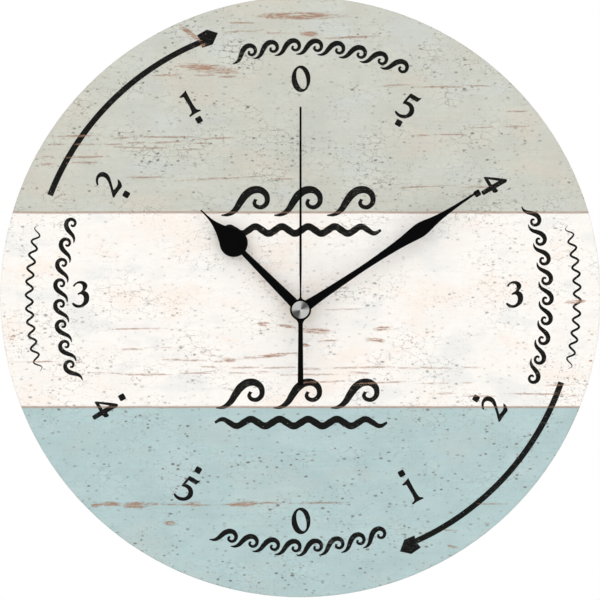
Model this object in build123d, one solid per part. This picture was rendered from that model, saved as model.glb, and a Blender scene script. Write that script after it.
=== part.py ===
from build123d import *
import math
import os

# Wall clock with a round board, three hands and a quartz movement behind the board.
# Lengths are in millimetres and angles in degrees.
# Every piece is drawn on the wall plane: x to the right, y up, z out of the wall towards the viewer.
# The origin is the point of the wall that lies behind the hands' arbor.

# Board and printed face
board_diameter = 267.0
board_thickness = 5.0
board_rim_bevel = 0.6
arbor_drop = 5.65
face_thickness = 0.3
stem_hole_clearance = 0.25

# Clearances shared by many pieces
running_clearance = 0.05
press_clearance = 0.02
body_clearance = 0.3
end_shake = 0.2
cut_overrun = 1.0

# AA cell and its bay
cell_diameter = 14.5
cell_length = 50.5
cell_edge_bevel = 0.6
cell_setback = 0.5
terminal_diameter = 5.5
terminal_height = 1.3
contact_thickness = 0.4
contact_gap = 0.1
spring_room = 2.2
spring_span = 9.0
contact_width = 8.0
finger_notch_width = 16.0
finger_notch_depth = 6.0

# Shells of the movement
case_wall = 1.2
case_corner_radius = 3.0
case_edge_radius = 0.6
cover_thickness = 1.4
cover_fit = 0.1
cover_boss_height = 1.8
latch_width = 5.0
latch_depth = 1.6
latch_reach = 0.8
latch_height = 13.0
post_radius = 1.6
post_inset = 2.6
lower_post_inset = 3.6
bridge_thickness = 1.2
bridge_corner_radius = 1.5
peg_radius = 0.6
train_plate_thickness = 0.8
plate_fit = 0.1
train_margin = 2.0

# Hanger loop above the case
hanger_half_width = 9.0
hanger_rise = 5.0
hanger_band = 3.5
hanger_thickness = 2.4

# Threaded stem and what clamps the board to it
stem_radius = 3.25
stem_thread_margin = 0.6
rubber_radius = 9.0
rubber_thickness = 1.0
washer_radius = 4.6
washer_thickness = 0.5
nut_across_flats = 8.1
nut_thickness = 2.0
nut_chamfer = 0.3

# Pipes and shaft of the three hands
second_shaft_radius = 0.6
minute_pipe_radius = 1.5
hour_pipe_radius = 2.3
pipe_setback = 0.2
hand_gap = 0.5

# Layers of wheels, counted from the bridge towards the viewer
wheel_thickness = 0.8
layer_gap = 0.6
first_layer_gap = 0.5
pinion_overhang = 0.2
hub_radius = 1.9

# Arbors and pivots
arbor_radius = 0.5
pivot_radius = 0.3
pivot_length = 1.7
socket_wall = 1.0
socket_floor = 0.3
minute_post_radius = 0.9

# Teeth of the going train
rotor_pinion_teeth = 12
intermediate_teeth = 60
intermediate_pinion_teeth = 10
second_teeth = 60
second_pinion_teeth = 8
third_teeth = 60
third_pinion_teeth = 8
centre_teeth = 64
intermediate_module = 0.20
second_module = 0.27
centre_module = 0.26

# Teeth of the motion work, which turns the hour hand once in 12 h 25 min
cannon_teeth = 12
minute_wheel_teeth = 41
minute_pinion_teeth = 11
hour_teeth = 40
knob_teeth = 10
minute_module = 0.35

# Tooth form, as shares of the module and of half a tooth's pitch
addendum_share = 0.95
dedendum_share = 1.15
tooth_width_share = 0.43

# Directions from one arbor to the next
intermediate_direction = 90.0
rotor_direction = 150.0
third_direction = 0.0
minute_direction = 180.0
knob_direction = 180.0

# Spoked wheels
spoke_count = 4
spoke_width = 1.2
rim_width = 1.3
spoked_hub_radius = 2.6

# Motor: magnet, stator plate, core and coil
magnet_radius = 2.8
magnet_height = 1.8
magnet_bore_radius = 0.9
stator_gap = 0.5
stator_ring_width = 1.9
stator_thickness = 0.8
stator_bar_width = 3.6
stator_notch_radius = 0.5
core_width = 3.0
core_thickness = 0.8
coil_length = 22.0
coil_shift = -4.0
bobbin_flange_radius = 3.6
bobbin_flange_thickness = 0.8
bobbin_tube_radius = 2.0
winding_radius = 3.1
core_end_length = 3.6
coil_margin = 1.0
core_screw_radius = 0.7
core_screw_head_radius = 1.3
core_screw_head_height = 0.7
core_screw_length = 4.2

# Circuit board and its parts
circuit_width = 9.5
circuit_height = 14.0
circuit_thickness = 0.8
circuit_margin = 1.5
peg_inset = 1.5
chip_radius = 2.6
chip_height = 1.0
can_radius = 1.0
can_length = 6.0
lead_width = 1.2
strap_width = 3.2

# Setting knob in the back of the case
knob_radius = 4.5
knob_height = 2.2
knob_recess_gap = 0.6
knob_recess_wall = 0.8
knob_setback = 0.3
knob_grooves = 18
knob_groove_depth = 0.4
knob_shaft_radius = 1.2
knob_pivot_radius = 0.8
knob_pivot_length = 2.2
knob_socket_radius = 1.7

# Hands: sheet, bushes and rest angles clockwise from straight up
hand_thickness = 0.5
bush_barrel_wall = 1.0
bush_neck_wall = 0.5
bush_barrel_height = 0.6
bush_neck_rise = 0.9
hour_hand_angle = 315.0
minute_hand_angle = 56.3
second_hand_angle = 0.0

# Hour hand: tapered stem, round bulb, concave flanks and a fine tip
hour_hand_length = 62.5
hour_boss_radius = 4.7
hour_stem_width = 4.6
hour_neck_width = 2.4
hour_bulb_radius = 6.25
hour_bulb_centre = 41.9
hour_tip_width = 0.7
hour_flank_start_share = 0.67
hour_flank_shares = ((0.43, 0.315), (0.62, 0.145), (0.80, 0.085))

# Minute hand: concave stem and a slender leaf
minute_hand_length = 94.7
minute_boss_radius = 4.2
minute_leaf_width = 6.4
minute_tip_width = 0.8
minute_outline_shares = (
    (0.040, 0.74), (0.110, 0.58), (0.210, 0.485), (0.340, 0.405), (0.430, 0.45), (0.520, 0.57),
    (0.590, 0.74), (0.640, 0.93), (0.672, 1.00), (0.705, 0.89), (0.745, 0.64), (0.810, 0.375), (0.890, 0.22),
)

# Second hand: boss, needle, wider tail and silver cap
second_hand_length = 89.7
second_tail_length = 33.3
second_boss_radius = 4.7
second_hand_thickness = 0.4
needle_neck_width = 0.75
needle_width = 1.05
needle_tip_width = 0.9
tail_width = 2.05
tail_end_width = 2.55
needle_flare_radius = 1.6
tail_flare_radius = 3.0
collet_radius = 1.1
collet_back_length = 0.9
collet_front_length = 0.5
cap_radius = 3.85
cap_rim_height = 0.5
cap_crown = 0.7
cap_bevel = 0.15

# Sizes that follow from the ones above
third_distance = centre_module * (centre_teeth + third_pinion_teeth) / 2
third_module = 2 * third_distance / (third_teeth + second_pinion_teeth)
motion_distance = minute_module * (cannon_teeth + minute_wheel_teeth) / 2
hour_module = 2 * motion_distance / (minute_pinion_teeth + hour_teeth)
knob_distance = minute_module * (minute_wheel_teeth + knob_teeth) / 2
intermediate_distance = second_module * (second_teeth + intermediate_pinion_teeth) / 2
rotor_distance = intermediate_module * (intermediate_teeth + rotor_pinion_teeth) / 2


def spot(distance, direction, start=(0, 0)):
    """A point at a distance and direction from another one, on the wall plane."""
    turn = math.radians(direction)
    return (start[0] + distance * math.cos(turn), start[1] + distance * math.sin(turn))


def tip_radius(teeth, module):
    """Radius over the tips of a wheel's teeth."""
    return module * (teeth / 2 + addendum_share)


hand_arbor = (0, 0)
third_arbor = spot(third_distance, third_direction)
minute_arbor = spot(motion_distance, minute_direction)
knob_arbor = spot(knob_distance, knob_direction, minute_arbor)
intermediate_arbor = spot(intermediate_distance, intermediate_direction)
rotor_arbor = spot(rotor_distance, rotor_direction, intermediate_arbor)

third_tip_radius = tip_radius(third_teeth, third_module)
stator_hole_radius = magnet_radius + stator_gap
stator_ring_radius = stator_hole_radius + stator_ring_width
coil_height = rotor_arbor[1] + stator_ring_radius + body_clearance + bobbin_flange_radius
coil_left = coil_shift - coil_length / 2
coil_right = coil_shift + coil_length / 2
core_screw_spots = (
    (coil_left - core_end_length / 2, coil_height),
    (coil_right + core_end_length / 2, coil_height),
)

circuit_left = coil_right + core_end_length + circuit_margin
circuit_right = circuit_left + circuit_width
circuit_bottom = third_tip_radius + circuit_margin
circuit_top = circuit_bottom + circuit_height

# The case is as wide as the cell or the knob needs, and as high as the bay and the train need
cell_room = contact_thickness + contact_gap + cell_length + spring_room + contact_thickness
inner_half_width = max(cell_room / 2, knob_radius + knob_recess_gap + train_margin - knob_arbor[0])
inner_top = coil_height + bobbin_flange_radius + coil_margin
train_bottom = -(third_tip_radius + train_margin)
bay_top = train_bottom - case_wall
bay_bottom = bay_top - cell_diameter - 2 * body_clearance
case_half_width = inner_half_width + case_wall
case_top = inner_top + case_wall
case_bottom = bay_bottom - case_wall
cell_right = inner_half_width - contact_thickness - contact_gap
cell_left = cell_right - cell_length
cell_height = (bay_top + bay_bottom) / 2

# Depths from the wall
bridge_back = cover_thickness + cover_boss_height
bridge_front = bridge_back + bridge_thickness
circuit_front = bridge_front + circuit_thickness


def layer(number):
    """Back and front of one layer of wheels, the first of which lies next to the bridge."""
    back = bridge_front + first_layer_gap + (number - 1) * (wheel_thickness + layer_gap)
    return back, back + wheel_thickness


intermediate_back, intermediate_front = layer(1)
second_back, second_front = layer(2)
third_back, third_front = layer(3)
centre_back, centre_front = layer(4)
minute_back, minute_front = layer(5)
hour_back, hour_front = layer(6)
inner_front = max(cell_setback + cell_diameter + body_clearance, hour_front + 2 * layer_gap)
case_front = inner_front + case_wall
cell_depth = cell_setback + cell_diameter / 2
stator_middle = (third_back + third_front) / 2
stator_back = stator_middle - stator_thickness / 2
stator_front = stator_middle + stator_thickness / 2
core_front = stator_front + core_thickness
coil_depth = stator_front + core_thickness / 2
magnet_back = stator_middle - magnet_height / 2
magnet_front = stator_middle + magnet_height / 2
shoulder_back = bridge_front + end_shake / 2
train_shoulder = centre_front + 2 * pinion_overhang
rotor_shoulder = magnet_front + layer_gap

board_back = case_front + rubber_thickness
board_front = board_back + board_thickness
face_front = board_front + face_thickness
washer_front = face_front + washer_thickness
nut_front = washer_front + nut_thickness
stem_front = nut_front + stem_thread_margin
stem_bore_radius = hour_pipe_radius + running_clearance
hour_bush_back = stem_front + hand_gap
hour_sheet_back = hour_bush_back + bush_barrel_height
hour_bush_front = hour_sheet_back + hand_thickness + bush_neck_rise
minute_bush_back = hour_bush_front + hand_gap
minute_sheet_back = minute_bush_back + bush_barrel_height
minute_bush_front = minute_sheet_back + hand_thickness + bush_neck_rise
collet_back = minute_bush_front + hand_gap
second_sheet_back = collet_back + collet_back_length
second_sheet_front = second_sheet_back + second_hand_thickness
collet_front = second_sheet_front + collet_front_length

WALL = Plane(origin=(0, 0, 0), x_dir=(1, 0, 0), z_dir=(0, -1, 0))


def rod(radius, back, front, at=hand_arbor):
    """A round rod that stands out of the wall between two depths."""
    standing = (Align.CENTER, Align.CENTER, Align.MIN)
    return Pos(at[0], at[1], back) * Cylinder(radius, front - back, align=standing)


def tube(outer, inner, back, front, at=hand_arbor):
    """A rod with a bore through it."""
    return rod(outer, back, front, at) - rod(inner, back - cut_overrun, front + cut_overrun, at)


def block(left, right, bottom, top, back, front):
    """A box between two sides, two heights and two depths."""
    corner = (Align.MIN, Align.MIN, Align.MIN)
    return Pos(left, bottom, back) * Box(right - left, top - bottom, front - back, align=corner)


def slab(sketch, back, front):
    """A flat outline made solid between two depths."""
    return extrude(Pos(0, 0, back) * sketch, amount=front - back)


def rounded(left, right, bottom, top, radius):
    """An outline with four round corners."""
    middle = Pos((left + right) / 2, (bottom + top) / 2)
    return middle * RectangleRounded(right - left, top - bottom, radius)


def turned(profile):
    """A solid of revolution about the hands' axis, from radius and depth points joined by straight lines."""
    lines = Polyline(*[(radius, 0, depth) for radius, depth in profile], close=True)
    return revolve(make_face(lines), Axis.Z)


def toothed(teeth, module, tooth_at):
    """Outline of a wheel: radial flanks up to the pitch circle, then flanks that close to a point."""
    pitch_radius = module * teeth / 2
    root_radius = pitch_radius - dedendum_share * module
    half_tooth = 180 / teeth * tooth_width_share
    points = []
    for tooth in range(teeth):
        middle = tooth_at + 360 * tooth / teeth
        points += [
            spot(root_radius, middle - half_tooth),
            spot(pitch_radius, middle - half_tooth),
            spot(tip_radius(teeth, module), middle),
            spot(pitch_radius, middle + half_tooth),
            spot(root_radius, middle + half_tooth),
        ]
    return make_face(Polyline(*points, close=True))


def gear(teeth, module, tooth_at, back, front, at):
    """A toothed wheel between two depths, with one tooth in the direction given."""
    return Pos(at[0], at[1]) * slab(toothed(teeth, module, tooth_at), back, front)


def gap_at(teeth, direction):
    """The tooth direction that puts a gap between teeth in the direction given."""
    return direction + 180 / teeth


def meshed_gap(teeth, direction, other_teeth, other_tooth_at):
    """The tooth direction of a wheel whose neighbour, in the direction given, has its own tooth turned."""
    back_direction = direction + 180
    other_share = (other_tooth_at - back_direction) * other_teeth / 360
    return direction + 360 / teeth * (1 / 2 - other_share)


# Every pinion points a tooth at its wheel, which has a gap there
intermediate_tooth_at = gap_at(intermediate_teeth, rotor_direction)
second_tooth_at = gap_at(second_teeth, intermediate_direction)
third_tooth_at = gap_at(third_teeth, third_direction + 180)
centre_tooth_at = gap_at(centre_teeth, third_direction)
minute_tooth_at = gap_at(minute_wheel_teeth, minute_direction + 180)
hour_tooth_at = gap_at(hour_teeth, minute_direction)
knob_tooth_at = meshed_gap(knob_teeth, knob_direction + 180, minute_wheel_teeth, minute_tooth_at)


def windows(root_radius, back, front, at):
    """The openings between a wheel's spokes."""
    outer = root_radius - rim_width
    cut = tube(outer, spoked_hub_radius, back - cut_overrun, front + cut_overrun, at)
    for spoke in range(spoke_count):
        bar = Box(2 * outer, spoke_width, 2 * (front - back) + 4 * cut_overrun)
        cut -= Pos(at[0], at[1], (back + front) / 2) * Rot(0, 0, 180 * spoke / spoke_count) * bar
    return cut


def pivoted_arbor(at, shoulder_front):
    """An arbor from the bridge to its front shoulder, with a thin pivot beyond each end."""
    front_pivot = rod(pivot_radius, shoulder_front, shoulder_front + pivot_length, at)
    back_pivot = rod(pivot_radius, bridge_back + socket_floor, shoulder_back, at)
    return rod(arbor_radius, shoulder_back, shoulder_front, at) + front_pivot + back_pivot


def socket(at, back, front):
    """A round post of the train plate with a blind hole in its end for a front pivot."""
    post = rod(pivot_radius + socket_wall, back, front, at)
    hole_end = back + pivot_length + end_shake
    return post - rod(pivot_radius + running_clearance, back - cut_overrun, hole_end, at)


def make_dial_board():
    """Fibreboard disc whose hole for the stem lies below its centre."""
    disc = rod(board_diameter / 2, board_back, board_front, (0, arbor_drop))
    disc = chamfer(disc.edges().filter_by(GeomType.CIRCLE), board_rim_bevel)
    hole = rod(stem_radius + stem_hole_clearance, board_back - cut_overrun, board_front + cut_overrun)
    return disc - hole


def make_dial_face():
    """Printed layer on the flat of the board's front."""
    face = rod(board_diameter / 2 - board_rim_bevel, board_front, face_front, (0, arbor_drop))
    hole = rod(stem_radius + stem_hole_clearance, board_front - cut_overrun, face_front + cut_overrun)
    return face - hole


def make_front_case():
    """Tray with the threaded stem, the battery bay and the hanger loop."""
    outline = rounded(-case_half_width, case_half_width, case_bottom, case_top, case_corner_radius)
    case = slab(outline, 0, case_front)
    front_edges = case.faces().sort_by(Axis.Z)[-1].edges()
    case = fillet(front_edges, case_edge_radius)
    inner_radius = case_corner_radius - case_wall
    train_room = rounded(-inner_half_width, inner_half_width, train_bottom, inner_top, inner_radius)
    case -= slab(train_room, -cut_overrun, inner_front)
    case -= block(-inner_half_width, inner_half_width, bay_bottom, bay_top, -cut_overrun, inner_front)
    # Notches that let the two contacts pass from the bay into the train room
    for side in (-1, 1):
        near = side * (inner_half_width - contact_thickness - contact_gap)
        far = side * inner_half_width
        case -= block(
            min(near, far), max(near, far), bay_top - cut_overrun, train_bottom + inner_radius,
            -cut_overrun, cell_depth + strap_width,
        )
    # Round notch in the bay's outer wall for a finger under the cell
    notch = Box(finger_notch_width, 4 * case_wall, 2 * finger_notch_depth)
    notch = fillet(notch.edges().filter_by(Axis.Y), finger_notch_depth / 2)
    case -= Pos(0, (case_bottom + bay_bottom) / 2, 0) * notch
    # Windows for the cover's latches
    for side in (-1, 1):
        wall_middle = side * (inner_half_width + case_wall / 2)
        case -= block(
            wall_middle - case_wall, wall_middle + case_wall,
            latch_height - latch_width / 2 - cover_fit, latch_height + latch_width / 2 + cover_fit,
            cover_thickness - cover_fit, cover_thickness + latch_depth + cover_fit,
        )
    case += slab(hanger_outline(0) - hanger_outline(hanger_band), 0, hanger_thickness)
    case += rod(stem_radius, case_front - case_wall / 2, stem_front)
    return case - rod(stem_bore_radius, inner_front - cut_overrun, stem_front + cut_overrun)


def hanger_outline(inset):
    """Arch above the case, or the same arch drawn in by an inset."""
    half_width = hanger_half_width - inset
    spring_line = case_top + hanger_rise
    low = case_top - case_wall / 2 + inset
    high = spring_line + half_width
    legs = Pos(0, (low + spring_line) / 2) * Rectangle(2 * half_width, spring_line - low)
    arch = Pos(0, spring_line) * Circle(half_width)
    return (legs + arch) & Pos(0, (low + high) / 2) * Rectangle(2 * half_width, high - low)


def make_train_plate():
    """Plate on the case's floor, with the posts under the bridge and the sockets of the front pivots."""
    plate_back = inner_front - train_plate_thickness
    inset = plate_fit
    outline = rounded(
        -inner_half_width + inset, inner_half_width - inset, train_bottom + inset, inner_top - inset,
        case_corner_radius - case_wall,
    )
    plate = slab(outline, plate_back, inner_front)
    for at in post_spots():
        plate += rod(post_radius, bridge_front, plate_back, at)
    plate += socket(third_arbor, train_shoulder + end_shake / 2, plate_back)
    plate += socket(intermediate_arbor, train_shoulder + end_shake / 2, plate_back)
    plate += socket(rotor_arbor, rotor_shoulder + end_shake / 2, plate_back)
    knob_socket_back = minute_front + pinion_overhang + end_shake
    knob_socket = rod(knob_socket_radius, knob_socket_back, plate_back, knob_arbor)
    knob_hole_end = knob_socket_back + knob_pivot_length
    plate += knob_socket - rod(
        knob_pivot_radius + running_clearance, knob_socket_back - cut_overrun, knob_hole_end, knob_arbor
    )
    plate += rod(minute_post_radius, minute_back - pinion_overhang, plate_back, minute_arbor)
    for at in core_screw_spots:
        post = rod(stator_bar_width / 2, core_front, plate_back, at)
        screw_end = stator_back + core_screw_length + body_clearance
        plate += post - rod(core_screw_radius + running_clearance, core_front - cut_overrun, screw_end, at)
    hub_hole = hour_pipe_radius + socket_wall + body_clearance
    return plate - rod(hub_hole, plate_back - cut_overrun, inner_front + cut_overrun)


def post_spots():
    """The four corners of the train room where posts meet the bridge."""
    side = inner_half_width - post_inset
    return [(x, y) for x in (-side, side) for y in (train_bottom + lower_post_inset, inner_top - post_inset)]


def make_back_cover():
    """Lid over the train, with latches, bosses that hold the bridge and a well for the knob."""
    gap = cover_fit
    outline = rounded(
        -inner_half_width + gap, inner_half_width - gap, train_bottom + gap, inner_top - gap,
        case_corner_radius - case_wall,
    )
    cover = slab(outline, 0, cover_thickness)
    for at in post_spots():
        cover += rod(post_radius, cover_thickness / 2, bridge_back, at)
    well_radius = knob_radius + knob_recess_gap
    cover += rod(well_radius + knob_recess_wall, cover_thickness / 2, bridge_back, knob_arbor)
    cover -= rod(well_radius, -cut_overrun, bridge_back + cut_overrun, knob_arbor)
    for side in (-1, 1):
        root = side * (inner_half_width - gap)
        profile = Polyline(
            (root - side * case_wall, cover_thickness / 2),
            (root, cover_thickness / 2),
            (root, cover_thickness),
            (root + side * latch_reach, cover_thickness + latch_depth / 4),
            (root + side * latch_reach, cover_thickness + latch_depth / 2),
            (root, cover_thickness + latch_depth),
            (root - side * case_wall, cover_thickness + latch_depth),
            close=True,
        )
        hook = extrude(Plane.XZ * make_face(profile), amount=latch_width / 2, both=True)
        cover += Pos(0, latch_height, 0) * hook
    return cover


def make_train_bridge():
    """Plate that holds the rear pivots and the circuit board's pegs."""
    outline = rounded(
        -inner_half_width + body_clearance, inner_half_width - body_clearance,
        train_bottom + body_clearance, inner_top - body_clearance, bridge_corner_radius,
    )
    bridge = slab(outline, bridge_back, bridge_front)
    # Side slots that clear the cover's latches
    for side in (-1, 1):
        depth = case_wall + 2 * body_clearance
        edge = side * (inner_half_width - depth / 2)
        bridge -= Pos(edge, latch_height, (bridge_back + bridge_front) / 2) * Box(
            depth, latch_width + 2 * body_clearance, 2 * bridge_thickness
        )
    low = bridge_back - cut_overrun
    high = bridge_front + cut_overrun
    for at in (hand_arbor, third_arbor, intermediate_arbor, rotor_arbor):
        bridge -= rod(pivot_radius + running_clearance, low, high, at)
    bridge -= rod(knob_shaft_radius + running_clearance, low, high, knob_arbor)
    peg_end = circuit_front + circuit_thickness
    for at in peg_spots():
        bridge += rod(peg_radius, bridge_front - bridge_thickness / 2, peg_end, at)
    return bridge


def peg_spots():
    """Two opposite corners of the circuit board that sit on pegs of the bridge."""
    return (
        (circuit_left + peg_inset, circuit_top - peg_inset),
        (circuit_right - peg_inset, circuit_bottom + peg_inset),
    )


def make_circuit_board():
    """Board that drives the coil, held on two pegs."""
    board = block(circuit_left, circuit_right, circuit_bottom, circuit_top, bridge_front, circuit_front)
    for at in peg_spots():
        board -= rod(
            peg_radius + running_clearance, bridge_front - cut_overrun, circuit_front + cut_overrun, at
        )
    return board


def make_chip_cover():
    """Drop of resin over the chip."""
    at = ((circuit_left + circuit_right) / 2, circuit_bottom + circuit_height / 3)
    ball_radius = (chip_radius**2 + chip_height**2) / (2 * chip_height)
    ball = Pos(at[0], at[1], circuit_front + chip_height - ball_radius) * Sphere(ball_radius)
    return ball & rod(2 * chip_radius, circuit_front, circuit_front + 2 * chip_height, at)


def make_quartz_can():
    """Tuning crystal's can lying on the circuit board."""
    middle = (circuit_left + circuit_right) / 2
    height = circuit_bottom + circuit_height * 2 / 3
    can = Cylinder(can_radius, can_length, rotation=(0, 90, 0))
    return Pos(middle, height, circuit_front + can_radius) * can


def make_positive_contact():
    """Plate at the cell's terminal with a strap that reaches the circuit board."""
    outer = inner_half_width
    inner = inner_half_width - contact_thickness
    plate = block(
        inner, outer, cell_height - contact_width / 2, cell_height + contact_width / 2,
        cell_depth - contact_width / 2, cell_depth + contact_width / 2,
    )
    foot_bottom = circuit_bottom + strap_width
    foot_top = foot_bottom + strap_width
    strap = block(inner, outer, cell_height, foot_top, circuit_front, circuit_front + strap_width)
    foot = block(
        circuit_right - lead_width, outer, foot_bottom, foot_top,
        circuit_front, circuit_front + contact_thickness,
    )
    return plate + strap + foot


def make_negative_contact():
    """Plate with a bowed tongue behind the cell and a flat lead along the bridge to the circuit board."""
    outer = -inner_half_width
    inner = outer + contact_thickness
    plate = block(
        outer, inner, cell_height - spring_span / 2 - contact_thickness, cell_height + spring_span / 2,
        cell_depth - contact_width / 2, cell_depth + contact_width / 2,
    )
    plate_middle = outer + contact_thickness / 2
    reach = cell_left - body_clearance - plate_middle
    bow = Pos(0, cell_height) * tongue(plate_middle, reach)
    plate += slab(bow, cell_depth - contact_width / 4, cell_depth + contact_width / 4)
    low = train_bottom + 2 * body_clearance
    rise = block(outer, inner, cell_height, low + lead_width, bridge_front, cell_depth)
    run_right = circuit_left + lead_width
    run = block(outer, run_right, low, low + lead_width, bridge_front, bridge_front + contact_thickness)
    climb = block(
        circuit_left, run_right, low, circuit_bottom, bridge_front, bridge_front + contact_thickness
    )
    return plate + rise + run + climb


def tongue(left, reach):
    """Outline of a strip bent into a shallow arc, seen from the back."""
    half = spring_span / 2
    middle = reach - contact_thickness
    radius = (half**2 + middle**2) / (2 * middle)
    centre = left + middle - radius
    arc = Pos(centre, 0) * (Circle(radius + contact_thickness) - Circle(radius))
    return arc & Pos(left + reach / 2, 0) * Rectangle(reach, 2 * half)


def make_battery_can():
    """Cell's body, with bevelled ends."""
    length = cell_length - terminal_height
    can = Cylinder(cell_diameter / 2, length, rotation=(0, 90, 0))
    can = chamfer(can.edges().filter_by(GeomType.CIRCLE), cell_edge_bevel)
    return Pos(cell_left + length / 2, cell_height, cell_depth) * can


def make_battery_terminal():
    """Raised positive end of the cell."""
    nub = Cylinder(terminal_diameter / 2, terminal_height, rotation=(0, 90, 0))
    return Pos(cell_right - terminal_height / 2, cell_height, cell_depth) * nub


def make_rubber_washer():
    """Soft washer between the movement and the board."""
    return tube(rubber_radius, stem_radius + stem_hole_clearance, case_front, board_back)


def make_fixing_washer():
    """Thin washer under the nut."""
    return tube(washer_radius, stem_radius + running_clearance, face_front, washer_front)


def make_fixing_nut():
    """Hexagon nut on the stem, with its corners eased."""
    flats = RegularPolygon(nut_across_flats / 2, 6, major_radius=False)
    nut = slab(flats, washer_front, nut_front)
    corner_radius = nut_across_flats / math.sqrt(3)
    easing = turned((
        (0, washer_front), (corner_radius, washer_front), (corner_radius, nut_front - nut_chamfer),
        (corner_radius - nut_chamfer, nut_front), (0, nut_front),
    ))
    nut = nut & easing
    return nut - rod(stem_radius + press_clearance, washer_front - cut_overrun, nut_front + cut_overrun)


def make_stator():
    """Plate with a notched hole round the magnet and two arms to the core's ends."""
    left, right = core_screw_spots
    plate = Pos(*rotor_arbor) * Circle(stator_ring_radius)
    half = stator_bar_width / 2
    for end in (left, right):
        low = rotor_arbor[1]
        plate += Pos(end[0], (low + end[1]) / 2) * Rectangle(stator_bar_width, end[1] - low)
        plate += Pos(*end) * Circle(half)
        plate += Pos(end[0], low) * Circle(half)
    middle = (left[0] + right[0]) / 2
    plate += Pos(middle, rotor_arbor[1]) * Rectangle(right[0] - left[0], stator_bar_width)
    plate -= Pos(*rotor_arbor) * Circle(stator_hole_radius)
    for side in (-1, 1):
        notch_at = spot(side * stator_hole_radius, rotor_direction, rotor_arbor)
        plate -= Pos(*notch_at) * Circle(stator_notch_radius)
    for end in (left, right):
        plate -= Pos(*end) * Circle(core_screw_radius + running_clearance)
    return slab(plate, stator_back, stator_front)


def make_coil_core():
    """Soft iron strip through the bobbin, with rounded ends that lie on the stator."""
    left, right = core_screw_spots
    middle = (left[0] + right[0]) / 2
    strip = Pos(middle, coil_height) * Rectangle(right[0] - left[0], core_width)
    for end in (left, right):
        strip += Pos(*end) * Circle(stator_bar_width / 2)
    for end in (left, right):
        strip -= Pos(*end) * Circle(core_screw_radius + running_clearance)
    return slab(strip, stator_front, core_front)


def lying_rod(radius, left, right):
    """A rod along the coil's axis."""
    body = Cylinder(radius, right - left, rotation=(0, 90, 0))
    return Pos((left + right) / 2, coil_height, coil_depth) * body


def make_coil_bobbin():
    """Spool with two flanges and a slot for the core."""
    flange = bobbin_flange_thickness
    spool = lying_rod(bobbin_tube_radius, coil_left, coil_right)
    spool += lying_rod(bobbin_flange_radius, coil_left, coil_left + flange)
    spool += lying_rod(bobbin_flange_radius, coil_right - flange, coil_right)
    slot = Box(
        coil_length + 2 * cut_overrun, core_width + 2 * press_clearance, core_thickness + 2 * press_clearance
    )
    return spool - Pos(coil_shift, coil_height, coil_depth) * slot


def make_coil_winding():
    """Wire wound between the bobbin's flanges."""
    left = coil_left + bobbin_flange_thickness
    right = coil_right - bobbin_flange_thickness
    inner = lying_rod(bobbin_tube_radius, left - cut_overrun, right + cut_overrun)
    return lying_rod(winding_radius, left, right) - inner


def make_core_screws():
    """The two screws that hold the core and the stator to the case, driven from behind."""
    screws = []
    for at in core_screw_spots:
        head_back = stator_back - core_screw_head_height
        screw = rod(core_screw_head_radius, head_back, stator_back, at)
        screw += rod(core_screw_radius, stator_back, stator_back + core_screw_length, at)
        slot = Box(
            2 * core_screw_head_radius + cut_overrun, core_screw_radius / 2, core_screw_head_height
        )
        screws.append(screw - Pos(at[0], at[1], head_back) * slot)
    return Compound(children=screws)


def make_rotor_pinion():
    """Moulded arbor of the motor, with its pinion and the seat of the magnet."""
    back = intermediate_back - pinion_overhang
    front = intermediate_front + pinion_overhang
    arbor = pivoted_arbor(rotor_arbor, rotor_shoulder)
    arbor += gear(rotor_pinion_teeth, intermediate_module, rotor_direction + 180, back, front, rotor_arbor)
    arbor += rod(magnet_bore_radius - press_clearance, front, magnet_front, rotor_arbor)
    return arbor + rod(magnet_radius / 2, front, magnet_back, rotor_arbor)


def make_rotor_magnet():
    """Ring magnet on the rotor's arbor."""
    return tube(magnet_radius, magnet_bore_radius, magnet_back, magnet_front, rotor_arbor)


def make_intermediate_wheel():
    """Wheel driven by the rotor, with the pinion that drives the second wheel."""
    wheel = gear(
        intermediate_teeth, intermediate_module, intermediate_tooth_at,
        intermediate_back, intermediate_front, intermediate_arbor,
    )
    wheel += gear(
        intermediate_pinion_teeth, second_module, intermediate_direction + 180,
        intermediate_front, second_front + pinion_overhang, intermediate_arbor,
    )
    return wheel + pivoted_arbor(intermediate_arbor, train_shoulder)


def make_second_wheel():
    """Wheel on the second hand's shaft, with the pinion that drives the third wheel."""
    wheel = gear(second_teeth, second_module, second_tooth_at, second_back, second_front, hand_arbor)
    root_radius = second_module * (second_teeth / 2 - dedendum_share)
    wheel -= windows(root_radius, second_back, second_front, hand_arbor)
    wheel += rod(hub_radius, second_back - layer_gap, second_front)
    wheel += gear(
        second_pinion_teeth, third_module, third_direction,
        second_front, third_front + pinion_overhang, hand_arbor,
    )
    bore_end = third_front + cut_overrun
    return wheel - rod(second_shaft_radius + press_clearance, second_back - cut_overrun, bore_end)


def make_second_arbor():
    """Steel shaft of the second hand, with a thin rear pivot."""
    shaft = rod(second_shaft_radius, shoulder_back, collet_front - 2 * socket_floor)
    return shaft + rod(pivot_radius, bridge_back + socket_floor, shoulder_back)


def make_third_wheel():
    """Wheel between the second pinion and the centre wheel."""
    wheel = gear(third_teeth, third_module, third_tooth_at, third_back, third_front, third_arbor)
    root_radius = third_module * (third_teeth / 2 - dedendum_share)
    wheel -= windows(root_radius, third_back, third_front, third_arbor)
    wheel += gear(
        third_pinion_teeth, centre_module, third_direction + 180,
        third_front, centre_front + pinion_overhang, third_arbor,
    )
    return wheel + pivoted_arbor(third_arbor, train_shoulder)


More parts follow.
